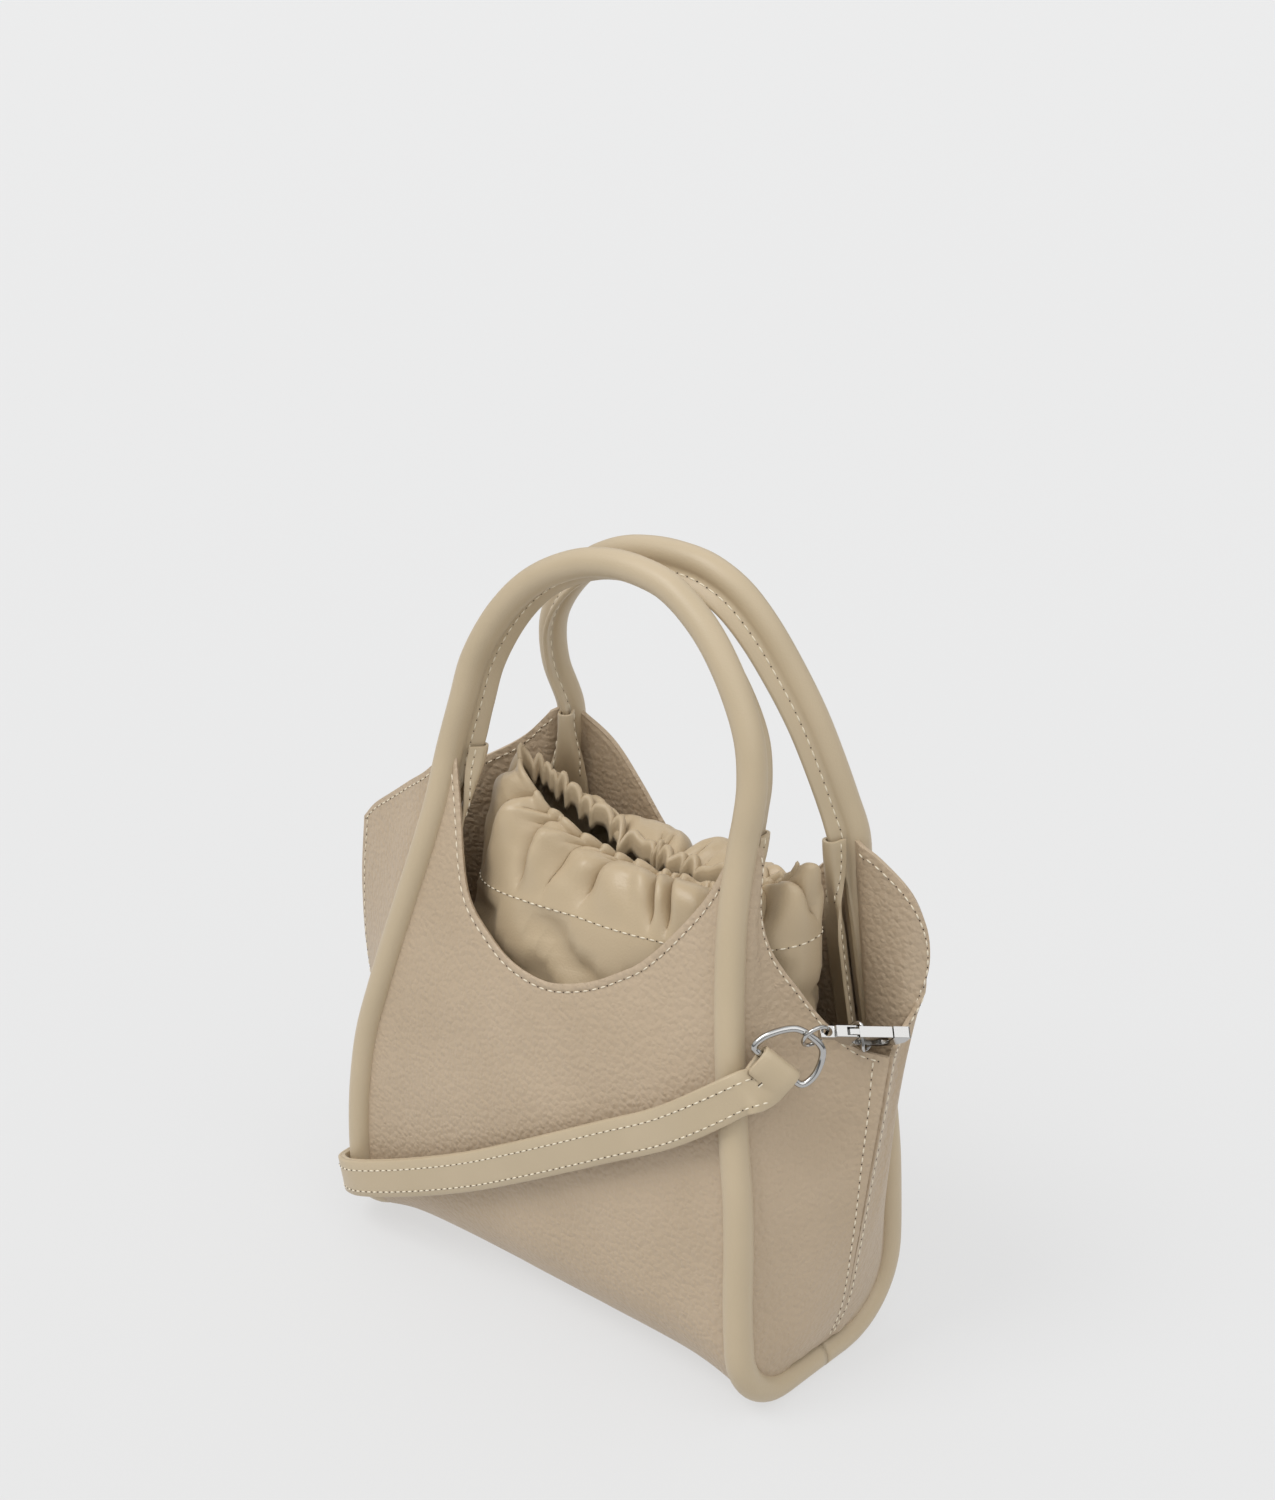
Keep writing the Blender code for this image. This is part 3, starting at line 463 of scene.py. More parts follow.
rows = []
for i in range(81):
    u = -1 + i / 40
    front, back = panel_column(-1, u), panel_column(1, u)
    middle = [blend(front[-1], back[-1], k / 5) for k in range(1, 5)]
    rows.append(front + middle + back[::-1])
shell = dress(sheet("shell_panels", rows, WALL, shell_leather), "shell_front_base_back")
print("shell panels:", len(rows) * len(rows[0]), "points")

# %% [markdown]
# ## Rows on the scooped edges
# The stitches run beside the edge at an even distance, so the row is the edge moved inward, square to it.

# %% Stitches along the scooped edges
EDGE_TO_ROW = 2.4
for face in (-1, 1):
    edge = [panel_point(face, u, scoop_top(face, u)) for u in [-0.985 + 1.97 * k / 120 for k in range(121)]]
    inner = []
    for point, way in zip(edge, tangents(edge)):
        down = Vector((way.z, 0, -way.x)) * EDGE_TO_ROW
        z = point.z + down.z
        left, right = panel_ends(face, z)
        u = 2 * (point.x + down.x - left) / (right - left) - 1
        if abs(u) < 0.985:
            inner.append(panel_point(face, u, z) + Vector((0, face * (WALL / 2 + ON_TOP), 0)))
    stitch(inner, [(0, face, 0.2)] * len(inner), SCOOP_PITCH)
print("rows so far:", len(ROWS))

# %% [markdown]
# ## Gussets
# Each side is two leather halves, sewn together down the middle and hanging between the two tubes. Their
# top edges sweep from the tube's peak down to that seam, which makes the wings of the silhouette.

# %% Side gussets


def body_tube(side, face, count):
    """Centre line of a handle tube from the middle of the side's foot to its peak."""
    r = corner_r(face)
    low = TUBE_R + 0.02
    x = tube_width(side, face, low)
    points = [Vector((x, face * (GAP * 0.7 + (BASE_HALF_D - r) * k / 3), low)) for k in range(4)]
    for k in range(1, 7):
        a = math.pi / 2 * k / 6
        z = low + r * (1 - math.cos(a))
        points.append(Vector((tube_width(side, face, z), face * (BASE_HALF_D - r + r * math.sin(a)), z)))
    top = PEAK_H * CORNERS[side, face]["high"]
    for k in range(1, count + 1):
        z = blend(low + r, top, k / count)
        points.append(Vector((tube_width(side, face, z), tube_depth(face, z), z)))
    return points


def gusset_rows(side, face, up=60, over=36):
    """Grid of one half, from the tube to the centre seam and from the foot to the top edge."""
    tube = path([tuple(p) for p in body_tube(side, face, 12)[1:]])

    def start(v):
        here = Vector(along(tube, v))
        above, under = Vector(along(tube, min(v + 0.01, 1.0))), Vector(along(tube, max(v - 0.01, 0.0)))
        way = (above - under).normalized()
        inward = Vector((0, -face * way.z, abs(way.y))).normalized()
        turn = math.radians(CORNERS[side, face]["turn"])
        out = blend(math.radians(14.0), math.radians(50.0) - turn, ease((v - 0.6) / 0.35))
        reach = TUBE_R + GAP + WALL / 2 + 0.25 + 0.4 * ease((v - 0.8) / 0.2)
        return here + (inward * math.cos(out) + Vector((side, 0, 0)) * math.sin(out)) * reach

    seam = [(side * BASE_HALF_W * a, y, z) for a, y, z in (RIGHT_SEAM if side > 0 else LEFT_SEAM)]
    seam_rows = path(seam)
    top = [tuple(start(1.0))] + [(side * x, y, z) for x, y, z in TOP_EDGES[side, face]] + [seam[-1]]
    edge_rows = path(top)
    rows = []
    for i in range(up + 1):
        v = i / up
        first, last = start(0.05 + 0.95 * v), Vector(along(seam_rows, v))
        row = []
        for j in range(over + 1):
            u = j / over
            edge = Vector(along(edge_rows, u)) - blend(Vector(top[0]), Vector(top[-1]), u)
            swell = GUSSET_BULGE * math.sin(math.pi * u) * math.sin(math.pi * min(v * 1.1, 1.0)) ** 0.7
            wave = noise.noise(Vector((u * 2.4, v * 4.0, side * 3 + face))) * 1.1 * math.sin(math.pi * u)
            row.append(blend(first, last, u) + edge * v**2.2 + Vector((side * (swell + wave), 0, 0)))
        row[0] = blend(Vector(along(tube, 0.05 + 0.95 * v)), row[0], 0.62)
        end = (row[-1] - row[-2]).normalized()
        clear = 0.05 + WALL / 2 * abs(end.x) * 0.8
        rows.append([p + Vector((0, face * clear * (j / over) ** 2, 0)) for j, p in enumerate(row)])
    return rows


def outward(rows, i, j, side):
    """Way that the sheet faces at a grid point, turned away from the bag."""
    a = rows[min(i + 1, len(rows) - 1)][j] - rows[max(i - 1, 0)][j]
    b = rows[i][min(j + 1, len(rows[i]) - 1)] - rows[i][max(j - 1, 0)]
    way = a.cross(b).normalized()
    return way if way.x * side > 0 else -way


for side, word in ((1, "right"), (-1, "left")):
    for face, half in ((-1, "front"), (1, "back")):
        name = f"gusset_{word}_{half}"
        rows = gusset_rows(side, face)
        side_panel = dress(sheet(f"side_{word}_{half}", rows, WALL, shell_leather), name)
        for sign in (1, -1):
            line = [(59, j) for j in range(1, 35)]
            ways = [outward(rows, i, j, side) * sign for i, j in line]
            stitch([rows[i][j] + w * (WALL / 2 + ON_TOP) for (i, j), w in zip(line, ways)], ways, GUSSET_PITCH)
        line = [(i, 34) for i in range(2, 59)]
        ways = [outward(rows, i, j, side) for i, j in line]
        stitch([rows[i][j] + w * (WALL / 2 + ON_TOP) for (i, j), w in zip(line, ways)], ways, GUSSET_PITCH)
print("gussets: 4, rows of stitches:", len(ROWS))

# %% [markdown]
# ## Rolled handles
# A strip of leather is rolled round a cord and its two edges are sewn together as a flange, with the
# stitches just beside the roll. One long tube makes each handle and both corners of its face, so it is
# a sweep of one outline along the whole path, with the flange turned to the inside of the arch.

# %% Handles


def arch_points(face):
    """Centre line of a handle above the body, from left to right."""
    points = []
    for across, up in (FRONT_ARCH if face < 0 else BACK_ARCH):
        z = PEAK_H + HANDLE_RISE * up
        lean = min((z - PEAK_H) / 105.0, 1.0)
        depth = -16.0 + 20.0 * lean if face < 0 else 33.0 - 18.0 * lean
        points.append(Vector((BASE_HALF_W * across, depth, z)))
    return points


def flange_way(side, face, turn):
    """Level way from a corner's tube to its flange."""
    a = math.radians(turn)
    return Vector((-side * math.sin(a), -face * math.cos(a), 0))


def handle_rows(face):
    """Path of the tube, and at each point the way to its flange and how far the flange reaches."""
    right, left = body_tube(1, face, 9), body_tube(-1, face, 9)
    arch = arch_points(face)[::-1]
    points = right + arch + left[::-1]
    first, last = len(right) - 1, len(right) + len(arch)
    rows = []
    for i, (point, way) in enumerate(zip(points, tangents(points))):
        share = min(max((i - first) / (last - first), 0.0), 1.0)
        side = 1 if share < 0.5 else -1
        across = flange_way(side, face, CORNERS[side, face]["turn"])
        crown = Vector((0, -face, -1)).normalized()
        weight = ease(1 - abs(share - 0.5) * 2)
        want = across * (1 - weight) + crown * weight
        if i < first - 1 or i > last + 1:
            want = Vector((0, -face * abs(way.z), abs(way.y)))
            want += flange_way(1 if i < first else -1, face, 0) * 0.01
        want = (want - way * want.dot(way)).normalized()
        reach = FLANGE_REACH if first <= i <= last else TUBE_R
        rows.append((*point, *want, reach, 1.0 if first <= i <= last else 0.0))
    return path(rows)


FLANGE_OUTLINE = ((0.35, -1.0), (0.92, -1.0), (1.0, -0.55), (1.0, 0.55), (0.92, 1.0), (0.35, 1.0))


def handle(face, name, steps=300, sides=26):
    """Tube and flange in one sweep, with a row of stitches on each side of the flange."""
    table = handle_rows(face)
    got = [along(table, k / steps) for k in range(steps + 1)]
    points = [Vector(row[:3]) for row in got]
    rings, lines = [], {1: [], -1: []}
    half = math.asin(FLANGE_T / 2 / TUBE_R)
    for row, point, way in zip(got, points, tangents(points)):
        want = Vector(row[3:6])
        want = (want - way * want.dot(way)).normalized()
        beside = way.cross(want).normalized()
        ring = []
        for k in range(sides + 1):
            a = half + (2 * math.pi - 2 * half) * k / sides
            ring.append(point + (want * math.cos(a) + beside * math.sin(a)) * TUBE_R)
        reach = max(row[6], TUBE_R * math.cos(half) + 0.02)
        for u, w in FLANGE_OUTLINE:
            far = blend(TUBE_R * math.cos(half) + 0.01, reach, u)
            ring.append(point + want * far + beside * w * FLANGE_T / 2)
        rings.append(ring)
        if row[7] > 0.9:
            for sign in (1, -1):
                on_flange = beside * sign * (FLANGE_T / 2 + ON_TOP)
                lines[sign].append((point + want * (TUBE_R + 1.5) + on_flange, beside * sign))
    for sign in (1, -1):
        stitch([p for p, _ in lines[sign]], [w for _, w in lines[sign]], HANDLE_PITCH)
    return sweep(name, rings, smooth_leather)


dress(handle(-1, "front_handle"), "handle_front")
dress(handle(1, "back_handle"), "handle_back")
print("handles: 2, rows of stitches:", len(ROWS))

# %% [markdown]
# ## Corner bindings
# Where each handle leaves the body, a folded strip wraps the flange like a pocket and opens out below
# into the corner between panel and gusset. It hides the raw edges inside the bag.

# %% Bindings


def binding_rows(side, face, steps=40):
    """Grid of one strip, a pocket at the top that opens into the corner below."""
    corner = CORNERS[side, face]
    top = PEAK_H * corner["high"]
    rows = []
    for i in range(steps + 1):
        f = i / steps
        z = top + 1.0 - BINDING_DROP * f
        low = min(z, top)
        centre = Vector((tube_width(side, face, low), tube_depth(face, low), z))
        way = flange_way(side, face, corner["turn"])
        beside = (Vector((-side, 0, 0)) - way * way.dot(Vector((-side, 0, 0)))).normalized()
        half = FLANGE_T / 2 + GAP + BINDING_T / 2 + 0.4
        near = TUBE_R + GAP + BINDING_T / 2 + 0.7
        far = FLANGE_REACH + GAP + BINDING_T / 2 + 1.1
        pocket = [way * near + beside * half, way * (far - 1.2) + beside * half,
                  way * far + beside * half * 0.45, way * far - beside * half * 0.45,
                  way * (far - 1.2) - beside * half, way * near - beside * half]
        panel, gusset = Vector((-side, 0, 0)), Vector((side * 0.25, -face, 0)).normalized()
        inner = WALL / 2 + GAP + BINDING_T / 2 + 0.9
        bend = Vector((-side, -face, 0))
        opened = [panel * (TUBE_R + 9.0) - Vector((0, face, 0)) * inner,
                  panel * (TUBE_R + 5.5) - Vector((0, face, 0)) * (inner + 0.6),
                  bend * (TUBE_R * 0.95), bend * (TUBE_R * 0.95) + Vector((side * 1.6, -face * 1.2, 0)),
                  Vector((0, -face, 0)) * (TUBE_R + 5.5) - Vector((side, 0, 0)) * 1.2,
                  gusset * (TUBE_R + 9.0) - Vector((side, 0, 0)) * 2.8]
        mix = ease((f - 0.05) / 0.45)
        shape = path([tuple(blend(a, b, mix)) for a, b in zip(pocket, opened)])
        rows.append([centre + Vector(along(shape, k / 20)) for k in range(21)])
    return rows


for side, word in ((1, "right"), (-1, "left")):
    for face, half in ((-1, "front"), (1, "back")):
        rows = binding_rows(side, face)
        piece = sheet(f"corner_{half}_{word}", rows, BINDING_T, smooth_leather)
        dress(piece, f"binding_{half}_{word}")
        for j in (3, 17):
            line = list(range(1, 40))
            ways = [outward(rows, i, j, 1) for i in line]
            middle = [(rows[i][0] + rows[i][20]) / 2 for i in line]
            ways = [w if w.dot(rows[i][j] - m) > 0 else -w for i, w, m in zip(line, ways, middle)]
            stitch([rows[i][j] + w * (BINDING_T / 2 + ON_TOP) for i, w in zip(line, ways)], ways, BINDING_PITCH)
print("bindings: 4, rows of stitches:", len(ROWS))

# %% [markdown]
# ## Gathered pouch
# A soft pouch fills the bag. A casing is sewn round it, and above that line it is drawn in to a narrow
# mouth, so the thin leather stands up in rounded puffs with sharp creases between them. A cloth
# simulation would take long to settle into such tight gathers; here a rule makes the puffs: the absolute
# value of a sine has sharp valleys and round hills, and it grows from the casing to the mouth.

# %% Pouch
AROUND = 720        # points round the pouch
LONG_FOLDS = 9      # deep folds round the pouch
GATHERS = 26        # tight puffs at the mouth
LONG_DEPTH = 8.0
GATHER_DEPTH = 4.0
LIP_R = 1.3


def foot_inset(r, z):
    """How far a rounded foot of this radius stands in at a height."""
    return r * (1 - math.sqrt(1 - max(0.0, 1 - z / r) ** 2))


def pouch_limits(z):
    """Left, right, front and back limit of the room inside the bag at a height."""
    front = tube_depth(-1, z) + 5.0 + foot_inset(FRONT_FOOT_R + TUBE_R, z)
    back = tube_depth(1, z) - 5.0 - foot_inset(BACK_CORNER_R + TUBE_R, z)
    sides = 4.0 * (1 - ease((z - 10.0) / 12.0))
    left = 0.5 * (tube_width(-1, -1, z) + tube_width(-1, 1, z)) + 6.0 + sides
    right = 0.5 * (tube_width(1, -1, z) + tube_width(1, 1, z)) - 4.0 - sides
    return left, right, front, back


def pouch_wall(a, f):
    """Wall below the casing, f from the floor (0) to the casing (1)."""
    c, s = math.cos(a), math.sin(a)
    z = blend(3.9, CASING_Z + 8.0 * c, f)
    left, right, front, back = pouch_limits(min(z, CASING_Z + 8.0))
    power = blend(0.42, 0.62, f)
    half_w, half_d = (right - left) / 2, (back - front) / 2 * (1 - 0.34 * abs(c) ** 3 * f)
    x = (left + right) / 2 + half_w * math.copysign(abs(c) ** power, c) + max(0.0, c) * 10.0 * f**2
    y = (front + back) / 2 + half_d * math.copysign(abs(s) ** power, s)
    return Vector((x, y, z))


def mouth(a):
    """Rim of the mouth: open at the left, drawn shut toward the right."""
    c, s = math.cos(a), math.sin(a)
    half = blend(8.6, 3.0, ease((c + 0.9) / 1.2))
    y = 6.0 + math.copysign(half, s) * abs(s) ** 0.8 - (2.5 if s < 0 else 0.0) * abs(s)
    sag = abs(s) * (13.0 if s < 0 else 9.5)
    return Vector((blend(-53.0, 76.0, (c + 1) / 2), y, MOUTH_Z + 9.0 * c * c - 5.0 * c - sag))


def even_angles():
    """Angles that stand evenly spaced along a ring half way up the gathers."""
    fine = [2 * math.pi * k / 6000 for k in range(6001)]
    ring = [blend(pouch_wall(a, 1.0), mouth(a), 0.6) for a in fine]
    total = [0.0]
    for a, b in zip(ring, ring[1:]):
        total.append(total[-1] + (b - a).length)
    angles, k = [], 0
    for j in range(AROUND):
        while total[k + 1] < total[-1] * j / AROUND:
            k += 1
        angles.append(fine[k])
    return angles


def pouch_top(a, turn, f):
    """Gathered part, f from the casing (0) to the mouth's rim (1); turn runs evenly round it."""
    c, s = math.cos(a), math.sin(a)
    point = blend(pouch_wall(a, 1.0), mouth(a), f)
    place = Vector((1.9 * math.cos(turn), 1.9 * math.sin(turn), 0.5 * f))
    drift = noise.noise(place)
    large = abs(math.sin(LONG_FOLDS * turn / 2 + 4.4 * drift + 0.7 * f)) ** 0.72
    small = abs(math.sin(GATHERS * turn / 2 + 4.5 * drift + 3.0 * noise.noise(place * 2.3))) ** 0.7
    lift = math.sin(math.pi * min(f * 1.04, 1.0))
    away = Vector((0.35 * c, 0.8 * s, 0.65)).normalized()
    point.z += lift * 9.5
    point.x += lift * 3.0 * c
    deep = LONG_DEPTH * (1.0 + 0.9 * noise.noise(place * 1.7))
    swell = deep * (large - 0.66) * ease(f / 0.35) * blend(1.0, 0.55, ease((f - 0.8) / 0.2))
    calm = 1.0 - 0.75 * ease((abs(c) - 0.86) / 0.14)
    swell += calm * GATHER_DEPTH * (small - 0.62) * ease((f - 0.58) / 0.4)
    drape = noise.noise(Vector((point.x / 17.0, point.y / 14.0, point.z / 12.0))) * 3.4
    crinkle = (0.5 - abs(noise.noise(Vector((point.x / 5.5, point.y / 5.5, point.z / 7.0))))) * 1.3
    point += away * (swell + (drape + crinkle * ease((f - 0.3) / 0.5)) * lift)
    point.z += 2.2 * calm * (small - 0.62) * ease((f - 0.6) / 0.4)
    return point


def lip(rim, a, step):
    """The mouth's edge turns over and hangs down inside."""
    inward = Vector((-0.2 * math.cos(a), -math.sin(a), 0.0))
    b = math.pi * min(step, 4) / 4
    drop = LIP_R * math.sin(b) - 2.2 * max(step - 4, 0)
    return rim + inward * LIP_R * (1 - math.cos(b)) / 2 * 1.6 + Vector((0, 0, drop))


def pouch_rows():
    """Rings of points from the middle of the floor to the inside of the lip."""
    angles = even_angles()
    rows = []
    edge = [pouch_wall(a, 0.0) for a in angles]
    for share in (0.05, 0.5):
        rows.append([Vector((p.x * share, p.y * share, WALL + GAP + LINER_WALL / 2 + 0.2)) for p in edge])
    for k in range(37):
        f = k / 36
        row = []
        for a in angles:
            p = pouch_wall(a, f)
            wave = noise.noise(Vector((p.x / 21.0 + p.z / 30.0, p.y / 24.0, p.z / 12.0 + 4.0)))
            wave = math.copysign(abs(wave) ** 0.75, wave) * 6.0 * ease((f - 0.45) / 0.3)
            inset = (max(wave, -0.2) + 0.2) * (1 - ease((f - 0.95) / 0.05))
            row.append(p - Vector((math.cos(a), math.sin(a), 0)) * inset)
        rows.append(row)
    for k in range(1, 57):
        rows.append([pouch_top(a, 2 * math.pi * j / AROUND, k / 56) for j, a in enumerate(angles)])
    rim = rows[-1]
    for step in range(1, 8):
        rows.append([lip(rim[j], a, step) for j, a in enumerate(angles)])
    return rows


rows = pouch_rows()
faces = [tuple(range(AROUND))]
for i in range(len(rows) - 1):
    for j in range(AROUND):
        k = (j + 1) % AROUND
        faces.append((i * AROUND + j, i * AROUND + k, (i + 1) * AROUND + k, (i + 1) * AROUND + j))
pouch = mesh_object("gathered_pouch", [p for row in rows for p in row], faces, pouch_leather)
thickness = pouch.modifiers.new("thickness", "SOLIDIFY")
thickness.thickness = LINER_WALL * MM
thickness.offset = 0.0
dress(pouch, "pouch")
CASING_ROW = 38
ring = list(range(0, AROUND, 4)) + [0]
casing = [rows[CASING_ROW][k] for k in ring]
ways = []
for k in ring:
    up = rows[CASING_ROW + 1][k] - rows[CASING_ROW - 1][k]
    beside = rows[CASING_ROW][(k + 2) % AROUND] - rows[CASING_ROW][k - 2]
    way = beside.cross(up).normalized()
    ways.append(way if way.dot(rows[CASING_ROW][k] - Vector((0, 5, 150))) > 0 else -way)
stitch([p + w * (LINER_WALL / 2 + 0.1) for p, w in zip(casing, ways)], ways, CASING_PITCH)
print("pouch:", len(rows) * AROUND, "points")

# %% [markdown]
# ## Strap
# Two layers of leather, sewn along both edges, cross the front, turn the lower left corner on edge and
# climb the far side. Each end folds back round the bar of a ring.

# %% Strap


def end_frame(end):
    """Middle of a ring's bar, the bar's way, the way out and the way across both."""
    bar, out = Vector(end["along"]).normalized(), Vector(end["out"])
    out = (out - bar * out.dot(bar)).normalized()
    return Vector(end["bar"]), bar, out, bar.cross(out)


def fold(end, flip):
    """Rows of the strap's end as it turns round the ring's bar: place, width's way, half thickness."""
    middle, bar, out, face = end_frame(end)
    face = face * flip
    half = 0.95
    turn = D_WIRE + GAP + half
    rows = [(-11.0, -half - GAP / 2), (-8.5, -half - GAP / 2 - 0.1), (-4.5, -turn * 0.86), (-1.5, -turn)]
    rows += [(turn * math.sin(a), -turn * math.cos(a)) for a in [math.pi * k / 6 for k in range(1, 6)]]
    rows += [(-1.5, turn), (-4.5, turn * 0.86), (-8.5, half + GAP / 2 + 0.2)]
    return [(middle + out * u + face * v, bar, half) for u, v in rows]


def strap_rows():
    """The whole strap's path, with the width's way and half thickness at each place."""
    table = path([(*p, *w) for p, w in STRAP])
    steps = 38
    band = []
    for i in range(steps + 1):
        row = along(table, i / steps)
        near = min(i, steps - i) / 3
        band.append((Vector(row[:3]), Vector(row[3:]), blend(1.1, STRAP_T / 2, ease(near))))
    start = [(p, -w, h) for p, w, h in fold(ENDS["right"], 1)]
    whole = start + band + fold(ENDS["left"], -1)[::-1]
    return path([(*p, *w, h) for p, w, h in whole])


table = strap_rows()
STEPS = 420
got = [along(table, k / STEPS) for k in range(STEPS + 1)]
points = [Vector(row[:3]) for row in got]
lower = [(-1.0, -0.5), (-0.985, -0.82), (-0.95, -1.0), (-0.5, -1.06), (0.0, -1.08), (0.5, -1.06),
         (0.95, -1.0), (0.985, -0.82), (1.0, -0.5), (0.99, -0.06), (0.965, 0.0), (0.99, 0.06)]
outline = lower + [(-a, -b) for a, b in lower]
rings, seams = [], {(s, t): [] for s in (1, -1) for t in (1, -1)}
for k, (row, point, way) in enumerate(zip(got, points, tangents(points))):
    width = Vector(row[3:6])
    width = (width - way * width.dot(way)).normalized()
    thin = way.cross(width).normalized()
    rings.append([point + width * a * STRAP_W / 2 + thin * b * row[6] for a, b in outline])
    if 0.065 < k / STEPS < 0.94:
        for s, t in seams:
            inset = 3.7 if s > 0 else 2.4
            on_strap = thin * t * (row[6] * 1.05 + 0.03)
            seams[s, t].append((point + width * s * (STRAP_W / 2 - inset) + on_strap, thin * t))
dress(sweep("shoulder_strap", rings, smooth_leather), "strap")
for line in seams.values():
    stitch([p for p, _ in line], [w for _, w in line], STRAP_PITCH)
for k, s in ((30, 1), (30, -1), (390, 1), (390, -1)):   # short tacks across the ends of the rows
    row, ring = got[k], rings[k]
    width = (ring[20] - ring[2]).normalized() if s > 0 else (ring[2] - ring[20]).normalized()
    thin = (ring[4] - ring[16]).normalized()
    on_strap = thin * (row[6] * 1.06 + ON_TOP)
    tack = [points[k] - width * (STRAP_W / 2 - 4.2 + TACK_PITCH * n) + on_strap for n in range(4)]
    stitch(tack, [thin] * 4, TACK_PITCH)
print("strap length, mm:", round(sum((b - a).length for a, b in zip(points, points[1:]))))

# %% [markdown]
# ## Fittings
# Rings are round wire bent to shape, so each is a sweep along its rule. The clasp and its lever keep the
# solid's shape: a copy is merged, its edges are rounded as polished metal is, and it takes the plate.

# %% Rings


def wire(name, points, radius, sides=14, around=96):
    """Round wire along a closed line, smoothed between its points."""
    closed = [tuple(p) for p in points]
    table = path(closed[-2:] + closed + closed[:3])
    first, last = table[2][0], table[len(closed) + 2][0]
    fine = [Vector(along(table, blend(first, last, k / around))) for k in range(around)]
    rings = []
    ways = tangents(fine, True)
    up = ways[0].orthogonal().normalized()
    for point, way in zip(fine, ways):
        up = (up - way * up.dot(way)).normalized()
        across = way.cross(up)
        turn = [2 * math.pi * k / sides for k in range(sides)]
        rings.append([point + (up * math.cos(a) + across * math.sin(a)) * radius for a in turn])
    return sweep(name, rings, chrome, True)


def fittings(word, end):
    """D-ring, small ring and wire loop of one side."""
    middle, bar, out, _ = end_frame(end)
    bow = [(1.12, 0.07), (1.15, 0.2), (1.12, 0.38), (1.0, 0.58), (0.82, 0.78), (0.62, 0.92), (0.36, 0.985)]
    outline = [(k / 2, 0.0) for k in range(-2, 3)] + bow + [(0.0, 1.0)] + [(-a, b) for a, b in bow[::-1]]
    points = [middle + bar * (a * D_HALF + b * D_REACH * end["lean"]) + out * b * D_REACH for a, b in outline]
    dress(wire(f"strap_d_ring_{word}", points, D_WIRE), f"strap_ring_{word}")
    apex = middle + bar * D_REACH * end["lean"] + out * D_REACH
    facing = Vector(end["link"]).normalized()
    ahead = Vector(end["clasp"])
    toward = (ahead - facing * ahead.dot(facing)).normalized()
    up = facing.cross(toward)
    centre = apex + toward * 1.42
    turn = [2 * math.pi * k / 18 for k in range(18)]
    points = [centre + (toward * math.cos(a) + up * math.sin(a)) * LINK_R for a in turn]
    dress(wire(f"small_ring_{word}", points, LINK_WIRE), f"link_ring_{word}")
    at = centre + toward * LINK_R
    ahead = ahead.normalized()
    high = Vector(end["high"])
    high = (high - ahead * high.dot(ahead)).normalized()
    beside = high.cross(ahead)
    hook, foot = at + ahead * 14.6 - high * 4.6, Vector(end["loop"])
    side = Vector(end["wire"]).normalized()
    beside = beside * math.copysign(1.0, beside.dot(side))
    down = (foot - hook).normalized()
    reach, centre = (foot - hook).length / 2, (hook + foot) / 2
    points = []
    for k in range(20):
        a = 2 * math.pi * (k + 0.5) / 20
        c, s = math.cos(a), math.sin(a)
        far = math.copysign(abs(c) ** 0.4, c)
        across = blend(beside, side, (far + 1) / 2)
        across = (across - down * across.dot(down)).normalized()
        points.append(centre + down * reach * far + across * LOOP_HALF * math.copysign(abs(s) ** 0.4, s))
    dress(wire(f"wire_loop_{word}", points, LOOP_WIRE), f"gusset_loop_{word}")


for word, end in ENDS.items():
    fittings(word, end)
print("rings: 6")

# %% [markdown]
# ## Clasps, lever and tabs
# The clasp is a die-cast plate with a hook, and its sprung lever closes the hook. The lever is the one part
# that moves, so it rides on its own body and everything else rides on the bag.

# %% Clasps, lever and tabs


def refined(node, name, mat, soften):
    """Merged copy of a CAD node with rounded edges."""
    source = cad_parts[node]
    mesh = source.data.copy()
    grid = bmesh.new()
    grid.from_mesh(mesh)
    bmesh.ops.remove_doubles(grid, verts=grid.verts, dist=0.00001)
    bmesh.ops.dissolve_limit(grid, angle_limit=math.radians(3), verts=grid.verts, edges=grid.edges)
    grid.to_mesh(mesh)
    grid.free()
    mesh.materials.clear()
    mesh.materials.append(mat)
    obj = bpy.data.objects.new(name, mesh)
    bpy.context.scene.collection.objects.link(obj)
    round_off = obj.modifiers.new("rounded edges", "BEVEL")
    round_off.width = soften * MM
    round_off.segments = 2
    round_off.limit_method = "ANGLE"
    round_off.angle_limit = math.radians(35)
    for polygon in mesh.polygons:
        polygon.use_smooth = False
    return obj


for word in ("right", "left"):
    dress(refined(f"clasp_{word}", f"snap_clasp_{word}", chrome, 0.25), f"clasp_{word}")
    tab = refined(f"gusset_tab_{word}", f"loop_tab_{word}", smooth_leather, 0.2)
    dress(tab, f"gusset_tab_{word}")
lever = refined("lever_right", "clasp_lever_right", chrome, 0.2)
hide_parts("lever_right")
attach(lever, "lever")
print("clasps: 2, levers: 1, tabs: 2")
